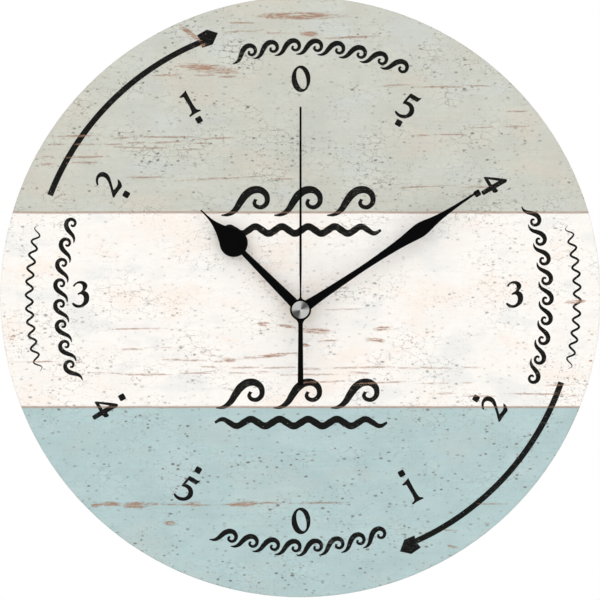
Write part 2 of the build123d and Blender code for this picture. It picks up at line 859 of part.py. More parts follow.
def make_centre_wheel():
    """Wheel that grips the cannon pinion and slips on it while the hands are set."""
    wheel = gear(centre_teeth, centre_module, centre_tooth_at, centre_back, centre_front, hand_arbor)
    root_radius = centre_module * (centre_teeth / 2 - dedendum_share)
    wheel -= windows(root_radius, centre_back, centre_front, hand_arbor)
    grip = minute_pipe_radius + press_clearance
    return wheel - rod(grip, centre_back - cut_overrun, centre_front + cut_overrun)


def make_cannon_pinion():
    """Minute pipe, with the pinion of the motion work at its root."""
    low = centre_back - end_shake
    pipe = rod(minute_pipe_radius, low, minute_bush_front - pipe_setback)
    pinion_front = minute_front + pinion_overhang
    pipe += gear(cannon_teeth, minute_module, minute_direction, centre_front, pinion_front, hand_arbor)
    bore = second_shaft_radius + running_clearance
    return pipe - rod(bore, low - cut_overrun, minute_bush_front + cut_overrun)


def make_minute_wheel():
    """Wheel and pinion that turn on a post of the case, between the cannon pinion and the hour wheel."""
    wheel = gear(
        minute_wheel_teeth, minute_module, minute_tooth_at, minute_back, minute_front, minute_arbor
    )
    front = hour_front + pinion_overhang
    wheel += gear(
        minute_pinion_teeth, hour_module, minute_direction + 180, minute_front, front, minute_arbor
    )
    bore = minute_post_radius + running_clearance
    return wheel - rod(bore, minute_back - cut_overrun, front + cut_overrun, minute_arbor)


def make_hour_wheel():
    """Hour wheel with the long pipe that carries the hour hand."""
    wheel = gear(hour_teeth, hour_module, hour_tooth_at, hour_back, hour_front, hand_arbor)
    wheel += rod(hour_pipe_radius + socket_wall, hour_front, inner_front - end_shake)
    wheel += rod(hour_pipe_radius, hour_front, hour_bush_front - pipe_setback)
    bore = minute_pipe_radius + running_clearance
    return wheel - rod(bore, hour_back - cut_overrun, hour_bush_front + cut_overrun)


def make_setting_knob():
    """Grooved knob in the back, whose pinion turns the minute wheel."""
    front = knob_setback + knob_height
    knob = rod(knob_radius, knob_setback, front, knob_arbor)
    groove_side = knob_groove_depth * math.sqrt(2)
    bar = Rot(0, 0, 45) * Box(groove_side, groove_side, knob_height + 2 * cut_overrun)
    for groove in range(knob_grooves):
        turn = 360 * groove / knob_grooves
        at = spot(knob_radius, turn, knob_arbor)
        knob -= Pos(at[0], at[1], knob_setback + knob_height / 2) * Rot(0, 0, turn) * bar
    pinion_back = minute_back - pinion_overhang
    pinion_front = minute_front + pinion_overhang
    knob += rod(knob_shaft_radius, front - case_wall / 2, pinion_back, knob_arbor)
    knob += gear(knob_teeth, minute_module, knob_tooth_at, pinion_back, pinion_front, knob_arbor)
    return knob + rod(knob_pivot_radius, pinion_front, pinion_front + knob_pivot_length, knob_arbor)


def make_bush(pipe_radius, back):
    """Brass bush: a barrel behind the hand's sheet and a neck through it."""
    barrel_front = back + bush_barrel_height
    neck_front = barrel_front + hand_thickness + bush_neck_rise
    bush = rod(pipe_radius + bush_barrel_wall, back, barrel_front)
    bush += rod(pipe_radius + bush_neck_wall, barrel_front, neck_front)
    return bush - rod(pipe_radius + press_clearance, back - cut_overrun, neck_front + cut_overrun)


def mirrored(half):
    """Both halves of a hand whose right half is given."""
    return half + mirror(half, Plane.YZ)


def sheet(outline, bore_radius, back, thickness, clockwise):
    """A hand's flat sheet, bored for its bush and turned clockwise from straight up."""
    return Rot(0, 0, -clockwise) * slab(outline - Circle(bore_radius), back, back + thickness)


def make_hour_hand():
    """Spade hand: the bulb's round back meets the stem, and its flanks sweep in to the tip."""
    half_stem = hour_stem_width / 2
    half_neck = hour_neck_width / 2
    half_tip = hour_tip_width / 2
    neck_end = hour_bulb_centre - math.sqrt(hour_bulb_radius**2 - half_neck**2)
    flank_rise = hour_bulb_radius * hour_flank_start_share
    flank_half = math.sqrt(hour_bulb_radius**2 - flank_rise**2)
    flank_start = hour_bulb_centre + flank_rise
    flank_length = hour_hand_length - flank_start
    flank = [(flank_half, flank_start)]
    for along_share, width_share in hour_flank_shares:
        flank.append((flank_half * width_share, flank_start + flank_length * along_share))
    flank.append((half_tip, hour_hand_length))
    edges = [
        Line((0, 0), (half_stem, 0)),
        Line((half_stem, 0), (half_neck, neck_end)),
        ThreePointArc((half_neck, neck_end), (hour_bulb_radius, hour_bulb_centre), flank[0]),
        Spline(*flank),
        Line(flank[-1], (0, hour_hand_length)),
        Line((0, hour_hand_length), (0, 0)),
    ]
    outline = mirrored(make_face(Wire(edges))) + Circle(hour_boss_radius)
    bore = hour_pipe_radius + bush_neck_wall + press_clearance
    return sheet(outline, bore, hour_sheet_back, hand_thickness, hour_hand_angle)


def make_minute_hand():
    """Leaf hand: a concave stem that opens into a slender leaf and closes to a fine tip."""
    side = []
    for along_share, width_share in minute_outline_shares:
        side.append((minute_leaf_width / 2 * width_share, minute_hand_length * along_share))
    side.append((minute_tip_width / 2, minute_hand_length))
    edges = [
        Line((0, 0), (side[0][0], 0)),
        Line((side[0][0], 0), side[0]),
        Spline(*side),
        Line(side[-1], (0, minute_hand_length)),
        Line((0, minute_hand_length), (0, 0)),
    ]
    outline = mirrored(make_face(Wire(edges))) + Circle(minute_boss_radius)
    bore = minute_pipe_radius + bush_neck_wall + press_clearance
    return sheet(outline, bore, minute_sheet_back, hand_thickness, minute_hand_angle)


def flare(boss_radius, half_width, radius):
    """Web with two round fillets between a round boss and a straight bar that runs up from it."""
    across = half_width + radius
    up = math.sqrt((boss_radius + radius) ** 2 - across**2)
    touch_share = boss_radius / (boss_radius + radius)
    points = (
        (0, 0), (across * touch_share, up * touch_share), (half_width, up),
        (-half_width, up), (-across * touch_share, up * touch_share),
    )
    web = make_face(Polyline(*points, close=True))
    for side in (-1, 1):
        web -= Pos(side * across, up) * Circle(radius)
    return web


def make_second_hand():
    """Needle with a round boss and a wider tail that balances it."""
    neck_end = 2 * second_boss_radius
    half_neck = needle_neck_width / 2
    half_needle = needle_width / 2
    half_tip = needle_tip_width / 2
    needle = make_face(Polyline(
        (-half_neck, 0), (half_neck, 0), (half_neck, neck_end), (half_needle, 2 * neck_end),
        (half_tip, second_hand_length), (-half_tip, second_hand_length),
        (-half_needle, 2 * neck_end), (-half_neck, neck_end), close=True,
    ))
    half_tail = tail_width / 2
    half_end = tail_end_width / 2
    tail = make_face(Polyline(
        (-half_tail, 0), (half_tail, 0), (half_tail, -neck_end), (half_end, -second_tail_length),
        (-half_end, -second_tail_length), (-half_tail, -neck_end), close=True,
    ))
    outline = needle + tail + Circle(second_boss_radius)
    outline += flare(second_boss_radius, half_neck, needle_flare_radius)
    outline += mirror(flare(second_boss_radius, half_tail, tail_flare_radius), Plane.XZ)
    bore = collet_radius + press_clearance
    return sheet(outline, bore, second_sheet_back, second_hand_thickness, second_hand_angle)


def make_second_collet():
    """Brass tube that grips the second shaft."""
    collet = rod(collet_radius, collet_back, collet_front)
    shoulder = collet_radius + bush_neck_wall
    collet += rod(shoulder, second_sheet_back - collet_back_length / 2, second_sheet_back)
    bore = second_shaft_radius + press_clearance
    return collet - rod(bore, collet_back - cut_overrun, collet_front - socket_floor)


def make_second_cap():
    """Turned cap with a low crown, seated on the second hand over its collet."""
    base = second_sheet_front
    rim = base + cap_rim_height
    crown = rim + cap_crown
    ball_radius = (cap_radius**2 + cap_crown**2) / (2 * cap_crown)
    cap = rod(cap_radius, base, crown) & Pos(0, 0, crown - ball_radius) * Sphere(ball_radius)
    cap = chamfer(cap.faces().sort_by(Axis.Z)[0].edges(), cap_bevel)
    return cap - rod(collet_radius + press_clearance, base - cut_overrun, collet_front + press_clearance)


PIECES = {
    "dial_board": make_dial_board,
    "dial_face": make_dial_face,
    "front_case": make_front_case,
    "back_cover": make_back_cover,
    "train_bridge": make_train_bridge,
    "train_plate": make_train_plate,
    "circuit_board": make_circuit_board,
    "chip_cover": make_chip_cover,
    "quartz_can": make_quartz_can,
    "positive_contact": make_positive_contact,
    "negative_contact": make_negative_contact,
    "battery_can": make_battery_can,
    "battery_terminal": make_battery_terminal,
    "rubber_washer": make_rubber_washer,
    "fixing_washer": make_fixing_washer,
    "fixing_nut": make_fixing_nut,
    "stator": make_stator,
    "coil_core": make_coil_core,
    "coil_bobbin": make_coil_bobbin,
    "coil_winding": make_coil_winding,
    "core_screws": make_core_screws,
    "rotor_pinion": make_rotor_pinion,
    "rotor_magnet": make_rotor_magnet,
    "intermediate_wheel": make_intermediate_wheel,
    "second_wheel": make_second_wheel,
    "second_arbor": make_second_arbor,
    "third_wheel": make_third_wheel,
    "centre_wheel": make_centre_wheel,
    "cannon_pinion": make_cannon_pinion,
    "minute_wheel": make_minute_wheel,
    "hour_wheel": make_hour_wheel,
    "setting_knob": make_setting_knob,
    "hour_bush": lambda: make_bush(hour_pipe_radius, hour_bush_back),
    "hour_hand": make_hour_hand,
    "minute_bush": lambda: make_bush(minute_pipe_radius, minute_bush_back),
    "minute_hand": make_minute_hand,
    "second_hand": make_second_hand,
    "second_collet": make_second_collet,
    "second_cap": make_second_cap,
}


def main():
    """Writes one STEP file for each piece."""
    os.makedirs("parts", exist_ok=True)
    for name, make in PIECES.items():
        export_step(WALL.location * make(), os.path.join("parts", name + ".step"))


main()
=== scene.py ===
"""Dresses the tide clock: printed planks and ink, hands and cap, and the quartz movement behind the board."""
import math
import random
from collections import namedtuple
from functools import reduce

import bpy
from mathutils import Matrix, Vector


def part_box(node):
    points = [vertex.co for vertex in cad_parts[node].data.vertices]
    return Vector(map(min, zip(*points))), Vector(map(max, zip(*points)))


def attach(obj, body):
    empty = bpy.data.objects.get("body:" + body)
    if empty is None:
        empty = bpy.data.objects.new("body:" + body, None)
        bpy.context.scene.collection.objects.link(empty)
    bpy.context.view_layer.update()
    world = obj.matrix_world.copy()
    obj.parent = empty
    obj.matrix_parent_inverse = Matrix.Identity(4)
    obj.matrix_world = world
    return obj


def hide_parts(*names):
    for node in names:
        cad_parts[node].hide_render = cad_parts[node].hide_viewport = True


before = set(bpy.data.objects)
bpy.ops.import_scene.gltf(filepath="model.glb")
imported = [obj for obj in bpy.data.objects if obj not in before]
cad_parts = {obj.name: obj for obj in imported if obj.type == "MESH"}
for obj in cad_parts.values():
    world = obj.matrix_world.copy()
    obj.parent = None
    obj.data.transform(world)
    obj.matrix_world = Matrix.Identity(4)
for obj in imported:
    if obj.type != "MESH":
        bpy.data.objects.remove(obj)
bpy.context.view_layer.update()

bl_info = {
    "name": "Tide clock looks",
    "version": (1, 0, 0),
    "blender": (4, 5, 0),
    "location": "View3D > Sidebar > Tide clock",
    "description": "Prints the dial, inks its marks and finishes the hands and movement of a tide clock",
    "category": "Object",
}

MM = 0.001
FACE_LOW, FACE_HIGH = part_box("dial_face")
FACE_DEPTH = -FACE_LOW.y / MM
FACE_RADIUS = FACE_HIGH.x / MM
BOARD_LOW, BOARD_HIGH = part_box("dial_board")
MIDDLE_UP = (BOARD_LOW.z + BOARD_HIGH.z) / 2 / MM


# Sizes and colours a user would change

def colour_property(label, description, red, green, blue):
    """A colour picked as it shows on a screen, from its three shares of 255."""
    return bpy.props.FloatVectorProperty(
        name=label, description=description, subtype="COLOR_GAMMA", size=3, min=0, max=1,
        default=(red / 255, green / 255, blue / 255))


def length_property(label, description, millimetres):
    """A length in metres, given in millimetres."""
    return bpy.props.FloatProperty(name=label, description=description, default=millimetres * MM,
                                   unit="LENGTH", subtype="DISTANCE")


def share_property(label, description, share):
    """A share between nothing and all."""
    return bpy.props.FloatProperty(name=label, description=description, default=share,
                                   min=0, max=1, subtype="FACTOR")


def power_property(label, description, watts):
    """The power of a lamp in watts."""
    return bpy.props.FloatProperty(name=label, description=description, default=watts, unit="POWER")


class DialLooks(bpy.types.PropertyGroup):
    """Colours of the planks and the ink, the places of the seams and dots, and how worn the print is."""
    top_colour: colour_property("Top plank", "Paint of the upper plank", 205, 206, 196)
    middle_colour: colour_property("Middle plank", "Paint of the middle plank", 253, 249, 244)
    bottom_colour: colour_property("Bottom plank", "Paint of the lower plank", 180, 203, 204)
    seam_colour: colour_property("Seam", "Bare wood that shows between two planks", 168, 138, 120)
    bare_colour: colour_property("Worn wood", "Wood that shows where the paint is worn", 194, 153, 128)
    speck_colour: colour_property("Specks", "Dirt in the pores of the paint", 112, 106, 96)
    ink_colour: colour_property("Ink", "Ink of the numerals, arrows and waves", 22, 22, 20)
    upper_seam: length_property("Upper seam", "Height of the upper seam above the board's middle", 37.6)
    lower_seam: length_property("Lower seam", "Height of the lower seam above the board's middle", -48.9)
    dot_radius: length_property("Dot radius", "Distance of the dots from the board's middle", 90.6)
    dot_side: length_property("Dot side", "Side of a square dot", 2.85)
    ink_height: length_property("Ink height", "How far the ink stands on the face", 0.03)
    wear: share_property("Wear", "How much of the paint is worn", 0.5)


class HandLooks(bpy.types.PropertyGroup):
    """Finish of the hands and of the turned cap between them."""
    hand_colour: colour_property("Hands", "Lacquer of the three hands", 3, 3, 4)
    cap_colour: colour_property("Cap", "Turned metal of the cap", 206, 206, 204)
    groove_pitch: length_property("Groove pitch", "Distance from one turned groove to the next", 0.24)
    groove_depth: length_property("Groove depth", "Depth of a turned groove", 0.05)


class MovementLooks(bpy.types.PropertyGroup):
    """Colours of the board behind the print and of the movement."""
    board_colour: colour_property("Fibre board", "Raw fibre board of the sides and back", 158, 124, 88)
    case_colour: colour_property("Case", "Moulded plastic of the case", 27, 27, 29)
    sleeve_colour: colour_property("Cell sleeve", "Shrunk sleeve of the cell", 34, 72, 92)
    band_colour: colour_property("Cell band", "Band of the sleeve at the plus end", 205, 150, 88)
    brass_colour: colour_property("Brass", "Bushes, nut and washer", 201, 166, 96)
    copper_colour: colour_property("Copper", "Wire of the coil", 184, 104, 62)
    circuit_colour: colour_property("Circuit board", "Lacquered side of the circuit board", 38, 84, 54)


class StageLooks(bpy.types.PropertyGroup):
    """Light and camera."""
    ambient: share_property("Even light", "Strength of the light that comes from all round", 0.80)
    key_power: power_property("Key", "Power of the lamp at the upper left", 11.5)
    fill_power: power_property("Fill", "Power of the lamp at the right", 6.0)
    back_power: power_property("Back", "Power of the lamp behind the clock", 26.0)
    camera_distance: length_property("Camera distance", "Distance from the lens to the dial", 1500)
    view_width: length_property("View width", "Width of the picture at the dial", 266.7)


LOOKS = {"tide_dial": DialLooks, "tide_hands": HandLooks,
         "tide_movement": MovementLooks, "tide_stage": StageLooks}


# Shader maths

def shown(colour):
    """A screen colour as light, with its alpha."""
    return tuple(c / 12.92 if c <= 0.04045 else ((c + 0.055) / 1.055) ** 2.4 for c in colour) + (1.0,)


class Shade:
    """A socket of a material that sums and products act on: each one adds a Math node."""

    def __init__(self, paint, socket):
        self.paint = paint
        self.socket = socket

    def __add__(self, other):
        return self.paint.maths("ADD", self, other)

    def __sub__(self, other):
        return self.paint.maths("SUBTRACT", self, other)

    def __rsub__(self, other):
        return self.paint.maths("SUBTRACT", other, self)

    def __mul__(self, other):
        return self.paint.maths("MULTIPLY", self, other)

    def __truediv__(self, other):
        return self.paint.maths("DIVIDE", self, other)

    def __pow__(self, other):
        return self.paint.maths("POWER", self, other)

    def __abs__(self):
        return self.paint.maths("ABSOLUTE", self)

    __radd__ = __add__
    __rmul__ = __mul__


class Paint:
    """A material under way, with the object's own coordinates in millimetres and patterns drawn on them."""

    def __init__(self, name, world=False):
        self.block = bpy.data.worlds.new(name) if world else bpy.data.materials.new(name)
        self.block.use_nodes = True
        self.tree = self.block.node_tree
        self.tree.nodes.clear()
        if not world:
            metres = self.node("ShaderNodeTexCoord", output="Object")
            self.place = self.times(metres, 1 / MM)
            self.x, self.y, self.z = (self.part(self.place, side) for side in "XYZ")

    def node(self, kind, settings=None, inputs=None, output=0):
        """Adds a node, sets it, then fills its inputs with values or links. Gives one of its outputs."""
        node = self.tree.nodes.new(kind)
        for key, value in (settings or {}).items():
            setattr(node, key, value)
        for key, value in (inputs or {}).items():
            if isinstance(value, Shade):
                self.tree.links.new(value.socket, node.inputs[key])
            else:
                node.inputs[key].default_value = value
        return Shade(self, node.outputs[output])

    def maths(self, operation, *values):
        """One Math node on one or two values."""
        return self.node("ShaderNodeMath", {"operation": operation}, dict(enumerate(values)))

    def part(self, value, side):
        """The X, Y or Z of a vector."""
        return self.node("ShaderNodeSeparateXYZ", {}, {0: value}, side)

    def red(self, value):
        """The red of a colour, which for a scatter or a cloud is a value of its own."""
        return self.node("ShaderNodeSeparateColor", {}, {0: value})

    def least(self, a, b):
        """The smaller of two values."""
        return self.maths("MINIMUM", a, b)

    def most(self, a, b):
        """The larger of two values."""
        return self.maths("MAXIMUM", a, b)

    def span(self, a, b):
        """The distance that two steps at right angles make."""
        return (a * a + b * b) ** 0.5

    def rise(self, value, low, high):
        """Nothing below low, all above high, and a soft step between."""
        return self.node("ShaderNodeMapRange", {"interpolation_type": "SMOOTHSTEP"},
                         {"Value": value, "From Min": low, "From Max": high, "To Min": 0.0, "To Max": 1.0})

    def fall(self, value, low, high):
        """All below low, nothing above high, and a soft step between."""
        return 1 - self.rise(value, low, high)

    def scaled(self, scale, shift=0.0):
        """The place in millimetres, stretched by a scale on each axis and shifted."""
        scale = scale if isinstance(scale, tuple) else (scale,) * 3
        return self.node("ShaderNodeMapping", {},
                         {"Vector": self.place, "Scale": scale, "Location": (shift, shift * 0.7, -shift)})

    def noise(self, scale, detail=2.0, rough=0.5, shift=0.0, output="Fac"):
        """Cloudy noise, from nothing to all, with as many clouds per millimetre as the scale says."""
        inputs = {"Vector": self.scaled(scale, shift), "Scale": 1.0, "Detail": detail, "Roughness": rough}
        return self.node("ShaderNodeTexNoise", {}, inputs, output)

    def cells(self, scale, shift=0.0):
        """Distance from the nearest of a scatter of points, and a value of each point's own."""
        distance = self.node("ShaderNodeTexVoronoi", {}, {"Vector": self.scaled(scale, shift), "Scale": 1.0})
        return distance, self.red(Shade(self, distance.socket.node.outputs["Color"]))

    def flecks(self, scale, shift, rim, picked):
        """Flecks round some points of a scatter: rim and picked each hold the two ends of a soft step."""
        distance, own = self.cells(scale, shift)
        return self.fall(distance, *rim) * self.rise(own, *picked)

    def blend(self, share, first, second):
        """The first colour, and the second by a share."""
        return self.node("ShaderNodeMix", {"data_type": "RGBA"}, {0: share, 6: first, 7: second}, 2)

    def times(self, vector, factor):
        """A place or colour with each of its parts multiplied."""
        start = vector if isinstance(vector, Shade) else vector[:3]
        return self.node("ShaderNodeVectorMath", {"operation": "SCALE"}, {0: start, "Scale": factor})

    def finish(self, colour, roughness, metallic=0.0, height=None, specular=0.5, coat=0.0, alpha=1.0):
        """Ends the material in one surface shader, with a bump whose height is in millimetres."""
        inputs = {"Base Color": colour, "Roughness": roughness, "Metallic": metallic,
                  "Specular IOR Level": specular, "Coat Weight": coat, "Alpha": alpha}
        if height is not None:
            bump = {"Height": height, "Distance": MM, "Strength": 1.0}
            inputs["Normal"] = self.node("ShaderNodeBump", {}, bump)
        surface = self.node("ShaderNodeBsdfPrincipled", {}, inputs)
        self.node_out("ShaderNodeOutputMaterial", surface)
        return self.block

    def node_out(self, kind, surface):
        """The last node of the material."""
        node = self.tree.nodes.new(kind)
        self.tree.links.new(surface.socket, node.inputs["Surface"])


# Places of the wear

BOLD_STREAKS = (
    # bare wood along the grain: middle across, middle up, half length, half thickness in millimetres, slope
    (-41, 101.5, 12.5, 1.4, -0.1), (0, 125, 18, 1.2, 0), (7, -15, 8, 0.9, -0.05), (36.5, -14, 4, 0.7, 0.1),
    (33.5, -19, 4.5, 0.7, -0.1), (2, -21.5, 2.5, 0.7, -0.2), (-32, -28, 3.5, 0.8, 0),
    (-13, -26, 13.5, 0.6, 0.1), (-16.5, -12, 3, 0.8, 0), (-6, -13, 4.5, 0.5, -0.15),
    (122.5, -2, 4.5, 0.8, 0.1), (-90.5, -92.5, 5.5, 0.7, 0.1), (-84.5, -92, 5, 0.9, -0.05),
    (-73.5, -92.5, 5.5, 1.2, 0), (-66, -92, 3, 0.6, 0.1), (-47, -92, 3, 0.9, 0.1), (-25, -92, 6.5, 0.9, 0.05),
    (4, 117, 4, 0.9, -0.05), (129, -28.5, 3, 0.5, 0.1), (-128, -18, 1.5, 0.8, 0.7),
    (-58, -100.5, 2.5, 0.8, 0), (67.5, -111, 4.5, 0.5, -0.25), (-49, 117, 6, 0.8, -0.7),
    (-43.5, 112, 1.5, 0.6, 0.4),
)

CRACK_ROWS = (
    # rows of hair-thin cracks along the grain: height up, and the row's left and right end, in millimetres
    (122.5, -33, -17), (117.5, -33, 1), (115, 8, 38), (98.5, -66, -28), (93.5, 35, 89), (82.5, 91, 101),
    (75.5, 75, 103), (72.5, 48, 76), (71, -111, -26), (68.5, -112, -41), (66, -84, -44), (62, -117, -86),
    (59.5, -118, -90), (53, -78, 2), (49.5, 43, 85), (-6, 11, 27), (-14.5, -85, -60), (-19.5, 8, 20),
    (-23, -81, -57), (-28.5, -129, -97), (-28.5, -60, -34), (-31.5, -46, 81), (-34, -96, 31), (-38, -1, 76),
    (-38.5, 106, 129), (-43.5, 60, 124), (-92, -63, 20), (-92, 78, 92), (-100, 77, 89), (-104, 63, 70),
)


def cracks_in_rows():
    """Cracks one after another along each row. Lengths, gaps and leans are random but the same each time."""
    draw = random.Random(4)
    shortest = 3
    cracks = []
    for up, start, end in CRACK_ROWS:
        across = start
        while across < end - shortest:
            half_length = min(draw.uniform(4, 14), (end - across) / 2)
            cracks.append((across + half_length, up + draw.uniform(-0.7, 0.7), half_length,
                           draw.uniform(0.28, 0.45), draw.uniform(-0.03, 0.05)))
            across += 2 * half_length + draw.uniform(0, 5)
    return cracks


# Materials of the dial

FADED_CREAM, FADED_WHITE, COOL_GREY = (0.86, 0.80, 0.73), (0.995, 0.93, 0.87), (0.81, 0.85, 0.86)
DEEP_WOOD, CHIP_BROWN = (0.60, 0.43, 0.33), (0.36, 0.25, 0.16)

Planks = namedtuple("Planks", "colour roughness height dirt bare line")


def plank_bands(paint, looks, line):
    """Flat paint of the three planks, then all that lies above the lower seam, then the white plank alone."""
    soft = 0.2
    above_lower, above_upper = (paint.rise(line, seam / MM - soft, seam / MM + soft)
                                for seam in (looks.lower_seam, looks.upper_seam))
    colour = paint.blend(above_lower, shown(looks.bottom_colour), shown(looks.middle_colour))
    colour = paint.blend(above_upper, colour, shown(looks.top_colour))
    return colour, above_lower, above_lower - above_upper


def plank_fading(paint, colour, above_lower, white_plank):
    """Patches where the paint has yellowed or turned grey."""
    tint = paint.noise((0.024, 0.05, 0.045), 4.0, 0.62, 23.0)
    warm = paint.rise(tint, 0.49, 0.66) * (0.12 + above_lower * 0.16 + white_plank * 0.16)
    cream = paint.blend(white_plank, shown(FADED_CREAM), shown(FADED_WHITE))
    colour = paint.blend(warm, colour, cream)
    return paint.blend(paint.fall(tint, 0.34, 0.48) * 0.25, colour, shown(COOL_GREY))


def plank_dirt(paint, stir, broken, relief, clusters, above_lower):
    """Dirt in the pores and the crackle of the paint, thicker in clusters. The lower plank has the most
    specks and the least crackle."""
    distance, own = paint.cells((0.30, 0.30, 0.52), 2.0)
    specks = paint.fall(distance + broken, own * 0.06, 0.14 + own * 0.24) * paint.rise(own, 0.25, 0.5)
    distance, own = paint.cells((0.62, 0.62, 1.25), 7.0)
    fine_specks = paint.fall(distance + broken, 0.04, 0.3) * paint.rise(own, 0.56, 0.7)

    shake = paint.node("ShaderNodeVectorMath", {"operation": "SUBTRACT"}, {0: stir, 1: (0.5, 0.5, 0.5)})
    shaken = paint.node("ShaderNodeVectorMath", {"operation": "MULTIPLY_ADD"},
                        {0: shake, 1: (6.0, 0.0, 1.5), 2: paint.place})
    mesh = paint.node("ShaderNodeMapping", {}, {"Vector": shaken, "Scale": (0.2, 0.2, 0.34)})
    edge = paint.node("ShaderNodeTexVoronoi", {"feature": "DISTANCE_TO_EDGE"}, {"Vector": mesh, "Scale": 1.0})
    crackle = paint.fall(edge, 0.02, 0.085) * paint.rise(relief, -0.03, 0.10)
    crackle = crackle * (0.10 + clusters * 0.50) * (0.45 + above_lower * 0.55)

    dirt = specks * (0.34 + clusters * 0.60) + fine_specks * (0.16 + clusters * 0.5) + crackle
    return dirt * (1.4 - above_lower * 0.4)


def plank_paint(paint, looks):
    """The painted planks: faded, mottled, dirty, and rubbed to the wood here and there."""
    stir = paint.noise((0.5, 0.5, 0.7), 3.0, 0.65, 3.0, "Color")
    stir_red = paint.red(stir)
    broken = (stir_red - 0.5) * 0.5
    line = paint.z - MIDDLE_UP + (paint.noise(0.05, 2.0, 0.5, 3.0) - 0.5) * 0.6
    colour, above_lower, white_plank = plank_bands(paint, looks, line)

    mottle = paint.noise((0.055, 0.2, 0.075), 4.0, 0.62, 5.0) - 0.5
    grain = paint.noise((0.05, 0.1, 0.95), 4.0, 0.62, 17.0) - 0.5
    tooth = paint.noise(1.3, 2.0, 0.6, 1.0) - 0.5
    light = mottle * 0.34 + grain * 0.14 + tooth * 0.16
    colour = paint.times(colour, 1.0 + light * (1 - white_plank * 0.5))
    colour = plank_fading(paint, colour, above_lower, white_plank)

    clusters = paint.rise(paint.noise((0.045, 0.06, 0.07), 3.0, 0.65, 41.0), 0.42, 0.66)
    dirt = plank_dirt(paint, stir, broken, tooth + mottle * 0.7, clusters, above_lower)
    dirt = paint.least(dirt * (looks.wear * 2), 0.85) * (1 - white_plank * 0.2)
    colour = paint.blend(dirt, colour, shown(looks.speck_colour))

    fibre = paint.noise((0.14, 0.2, 1.7), 3.0, 0.7, 53.0)
    bare = paint.rise(fibre + mottle * 0.5, 0.66, 0.74) * clusters * 0.4 * (looks.wear * 2)
    colour = paint.blend(bare, colour, shown(looks.bare_colour))
    for seam in (looks.upper_seam, looks.lower_seam):
        near = paint.fall(abs(line - seam / MM) + broken * 0.8, 0.2, 0.75)
        colour = paint.blend(near * (0.35 + stir_red * 0.8), colour, shown(looks.seam_colour))

    roughness = 0.56 + mottle * 0.12 + bare * 0.12
    height = grain * 0.02 + tooth * 0.006 - bare * 0.012 - dirt * 0.01
    return Planks(colour, roughness, height, dirt, bare, line)


def print_material(looks):
    """The printed face: paper-thin print of painted planks."""
    paint = Paint("printed_planks")
    planks = plank_paint(paint, looks)
    return paint.finish(planks.colour, planks.roughness, height=planks.height, specular=0.25)


def streak_material(name, looks, strength, raggedness):
    """Bare wood in a streak, ragged at its rim and broken along its fibres. Its own map runs along it."""
    paint = Paint(name)
    own_map = paint.node("ShaderNodeTexCoord", output="UV")
    along, across = (paint.part(own_map, side) * 2 - 1 for side in "XY")
    ragged = paint.noise((0.5, 0.5, 1.1), 3.0, 0.7, 3.0) - 0.5
    fibre = paint.noise((0.16, 0.2, 1.9), 3.0, 0.7, 53.0)
    away = paint.span(along, across) + ragged * raggedness
    alpha = paint.least(paint.fall(away, 0.4, 1.0) * paint.rise(fibre, 0.34, 0.58) * strength, 1.0)
    colour = paint.blend(paint.rise(fibre, 0.54, 0.66) * 0.7, shown(looks.bare_colour), shown(DEEP_WOOD))
    return paint.finish(colour, 0.74, height=fibre * 0.02, specular=0.2, alpha=alpha)


def ink_material(looks):
    """Ink on the print: thin where the planks are dirty or worn, flecked, and tinted by the seams below."""
    paint = Paint("dial_ink")
    planks = plank_paint(paint, looks)
    colour = paint.times(shown(looks.ink_colour), 0.8 + planks.dirt * 1.5)
    flecks = paint.flecks((0.55, 0.55, 0.8), 13.0, (0.05, 0.2), (0.72, 0.8))
    gone = paint.least(flecks * 0.35 + planks.bare * 0.55 + planks.dirt * 0.12, 0.8)
    colour = paint.blend(gone, colour, planks.colour)
    for seam in (looks.upper_seam, looks.lower_seam):
        near = paint.fall(abs(planks.line - seam / MM), 0.15, 0.6)
        colour = paint.blend(near * 0.28, colour, shown(looks.seam_colour))
    return paint.finish(colour, planks.roughness - 0.1, height=planks.height, specular=0.06)


def board_material(looks, movement):
    """Fibre board with the print wrapped over its front edge."""
    paint = Paint("fibre_board")
    fibres = paint.noise((0.5, 1.4, 0.5), 5.0, 0.7, 2.0)
    long_fibres = paint.noise((0.16, 2.2, 1.1), 4.0, 0.65, 9.0)
    cloud = paint.noise(0.03, 3.0, 0.5, 6.0)
    light = 0.62 + fibres * 0.34 + long_fibres * 0.22 + cloud * 0.22
    colour = paint.times(shown(movement.board_colour), light)
    chips = paint.flecks((0.7, 1.2, 0.7), 3.0, (0.08, 0.3), (0.7, 0.85))
    colour = paint.blend(chips * 0.35, colour, shown(CHIP_BROWN))
    front = -BOARD_LOW.y / MM
    depth = 0 - paint.y
    printed = paint.rise(depth + (fibres - 0.5) * 0.25, front - 0.62, front - 0.5)
    colour = paint.blend(printed, colour, plank_paint(paint, looks).colour)
    height = (fibres * 0.05 + long_fibres * 0.03) * (1 - printed)
    return paint.finish(colour, 0.74 - printed * 0.14, height=height, specular=0.25)


# Materials of the hands and the movement

SCUFF_GREY, DUST_GREY, TRACK_GREEN = (0.62, 0.62, 0.62), (0.45, 0.45, 0.45), (0.50, 0.62, 0.36)
SLEEVE_LINE, SLEEVE_SIGN = (0.92, 0.92, 0.90), (0.93, 0.93, 0.91)
CASE_SCUFF = (0.6, 0.6, 0.6)

EJECTOR_MARKS = (
    # where the ejector pins marked the back of the case: across and up in millimetres
    (-21, 21), (21, 21), (21, -6.5), (0, 12), (-9, -6.5),
)


